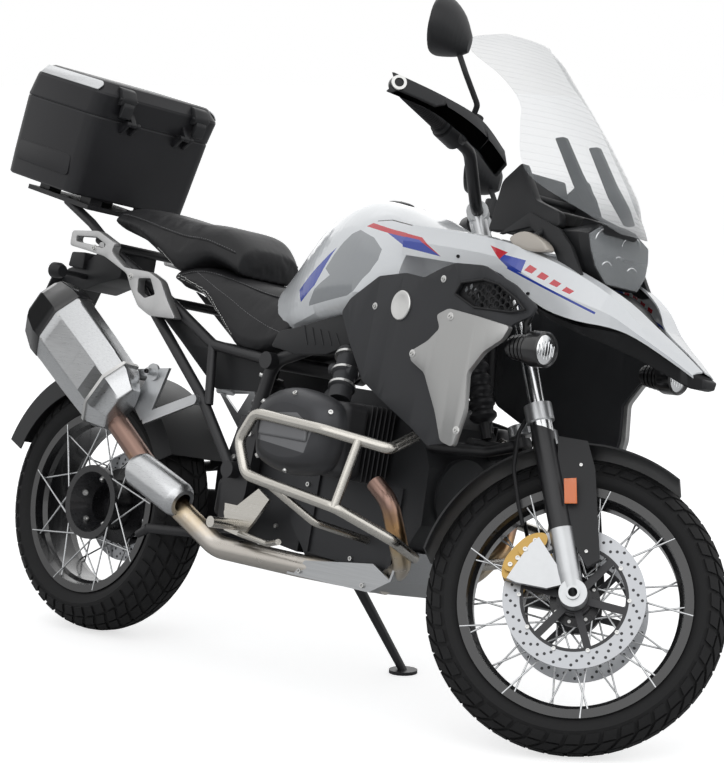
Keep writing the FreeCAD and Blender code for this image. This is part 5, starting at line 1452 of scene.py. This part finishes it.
def build_fasteners(shroud, silver, blades, handles):
    """Screws, the plain medallions and the fork reflectors."""
    seated("shroud_screws", shroud, [(478, 963), (263, 888), (700, 916)], 5, screw_steel, washer=3)
    seated("panel_screws", silver, [(532, 884), (433, 795), (604, 648)], 5, screw_steel, washer=4)
    seated("blade_screws", blades, [(640, 960), (452, 1020)], 4, black_screw)
    seated("handle_screws", handles, [(-628, 886), (-782, 944)], 6, screw_steel, washer=3)
    for node, spots, radius, finish, body in (
            ("front_discs", on_circle(FRONT_AXLE, 117, 10, 0.2), 5.0, screw_steel, "front_wheel"),
            ("front_hub", on_circle(FRONT_AXLE, 46, 8), 4.0, screw_steel, "front_wheel"),
            ("rear_hub", on_circle(REAR_AXLE, 60, 5, 0.3), 8.0, screw_steel, "rear_wheel"),
            ("rear_disc", on_circle(REAR_AXLE, 101, 5), 5.0, screw_steel, "rear_wheel"),
            ("front_calipers", [(612, 352), (634, 392), (622, 372), (648, 418)], 5.5, screw_steel, "fork"),
            ("valve_covers", [(78, 520), (78, 640), (284, 520), (284, 640), (178, 668), (178, 500)], 6.0,
             screw_steel, "chassis"),
            ("engine", [(40, 470), (-20, 640), (-120, 640), (-160, 480), (-60, 360), (20, 350), (-140, 380),
                        (350, 340), (210, 325)], 6.0, screw_steel,
             "chassis"),
            ("frame", [(-150, 560), (-190, 500), (-150, 700), (300, 700)], 7.0, screw_steel, "chassis"),
            ("passenger_footrests", [(-480, 664), (-400, 560), (-430, 700)], 6.0, black_screw, "chassis"),
            ("skid_plate", [(80, 274), (280, 274)], 6.0, screw_steel, "chassis"),
            ("fork_covers", [(760, 420), (700, 600), (700, 480)], 4.0, screw_steel, "fork"),
            ("rear_hugger", [(-560, 560), (-640, 600)], 4.5, black_screw, "chassis")):
        seated(node + "_screws", nodes[node], spots, radius, finish, body, node)
    tree = skin_of(shroud)
    foot, out = landing(tree, (354, -600, 896), (0, 1, 0))
    for side in (-1, 1):
        mesh = bmesh.new()
        spot = Vector((foot.x, abs(foot.y) * side, foot.z))
        away = Vector((out.x, abs(out.y) * side, out.z))
        lathe(mesh, [(0, 3.4), (20, 3.4), (24, 4.4), (31, 4.4), (33, 3), (33, -2), (0, -2)], spot, away, 40)
        shaped(mesh, "left_medallion" if side > 0 else "right_medallion", screw_steel, "shrouds")
    mesh = bmesh.new()
    for side in (-1, 1):
        slab(mesh, [(690, 505), (716, 512), (700, 566), (674, 558)], side * 136 - 1.5, side * 136 + 1.5, 1)
    shaped(mesh, "fork_reflectors", orange_lens, "fork_covers", "fork")


build_tank()
build_seats()
shroud, silver = build_shrouds()
blades = build_blades()
build_headlamp()
build_fog_lamps()
build_cowl()
build_screen()
build_silencer()
build_guards()
handles = build_handles()
build_side_covers()
build_intakes()
build_bar_ends()
build_tyres()
build_case()
build_tail()
build_fasteners(shroud, silver, blades, handles)


# Stage
SKY_TINT = (0.96, 0.98, 1)
SKY_STRENGTH = 0.42
FLOOR_GLOW = 0.68


def softbox(name, spot, target, size, power):
    lamp = bpy.data.lights.new(name, "AREA")
    lamp.shape = "RECTANGLE"
    lamp.size, lamp.size_y = size
    lamp.energy = power
    made = bpy.data.objects.new(name, lamp)
    bpy.context.scene.collection.objects.link(made)
    made.location = spot
    made.rotation_euler = (Vector(target) - Vector(spot)).to_track_quat("-Z", "Y").to_euler()


def light_stage():
    """Pale floor, white surroundings and four softboxes."""
    scene = bpy.context.scene
    scene.view_settings.view_transform = "Standard"
    floor_mesh = bpy.data.meshes.new("floor")
    build = bmesh.new()
    bmesh.ops.create_grid(build, x_segments=2, y_segments=2, size=40)
    build.to_mesh(floor_mesh)
    build.free()
    floor = bpy.data.objects.new("floor", floor_mesh)
    scene.collection.objects.link(floor)
    pale = Finish("pale_floor", Roughness=0.9, Emission_Strength=FLOOR_GLOW)
    pale.shade("Base Color", pale.tones((0.70, 0.70, 0.70), 0.01, 2))
    pale.shade("Emission Color", pale.mix(pale.node("LightPath"), (0, 0, 0), (1, 1, 1)))
    floor.data.materials.append(pale.material)
    world = bpy.data.worlds.new("soft_studio")
    scene.world = world
    world.use_nodes = True
    sky = Shading(world.node_tree)
    sky.tree.nodes.clear()
    rays = ("Is Camera Ray", "Is Transmission Ray", "Is Glossy Ray")
    camera_ray, transmitted, reflected = (sky.node("LightPath", output=ray) for ray in rays)
    seen = camera_ray.maths("MAXIMUM", transmitted).maths("MAXIMUM", reflected)
    soft = sky.node("Background", {"Color": SKY_TINT, "Strength": SKY_STRENGTH})
    plain = sky.node("Background", {"Color": (1, 1, 1)})
    sky.node("OutputWorld", {0: sky.node("MixShader", {0: seen, 1: soft, 2: plain})})

    softbox("key_softbox", (1.4, -3.2, 3.4), (0, 0, 0.6), (5.6, 4.0), 56)
    softbox("front_softbox", (4.2, 0.6, 2.4), (0.4, 0, 0.7), (4.0, 4.0), 26)
    softbox("back_softbox", (-3.2, 2.6, 3.0), (0, 0, 0.7), (4.6, 4.0), 34)
    softbox("top_softbox", (0.0, 0.0, 4.4), (0, 0, 0), (6.0, 5.0), 27)


light_stage()
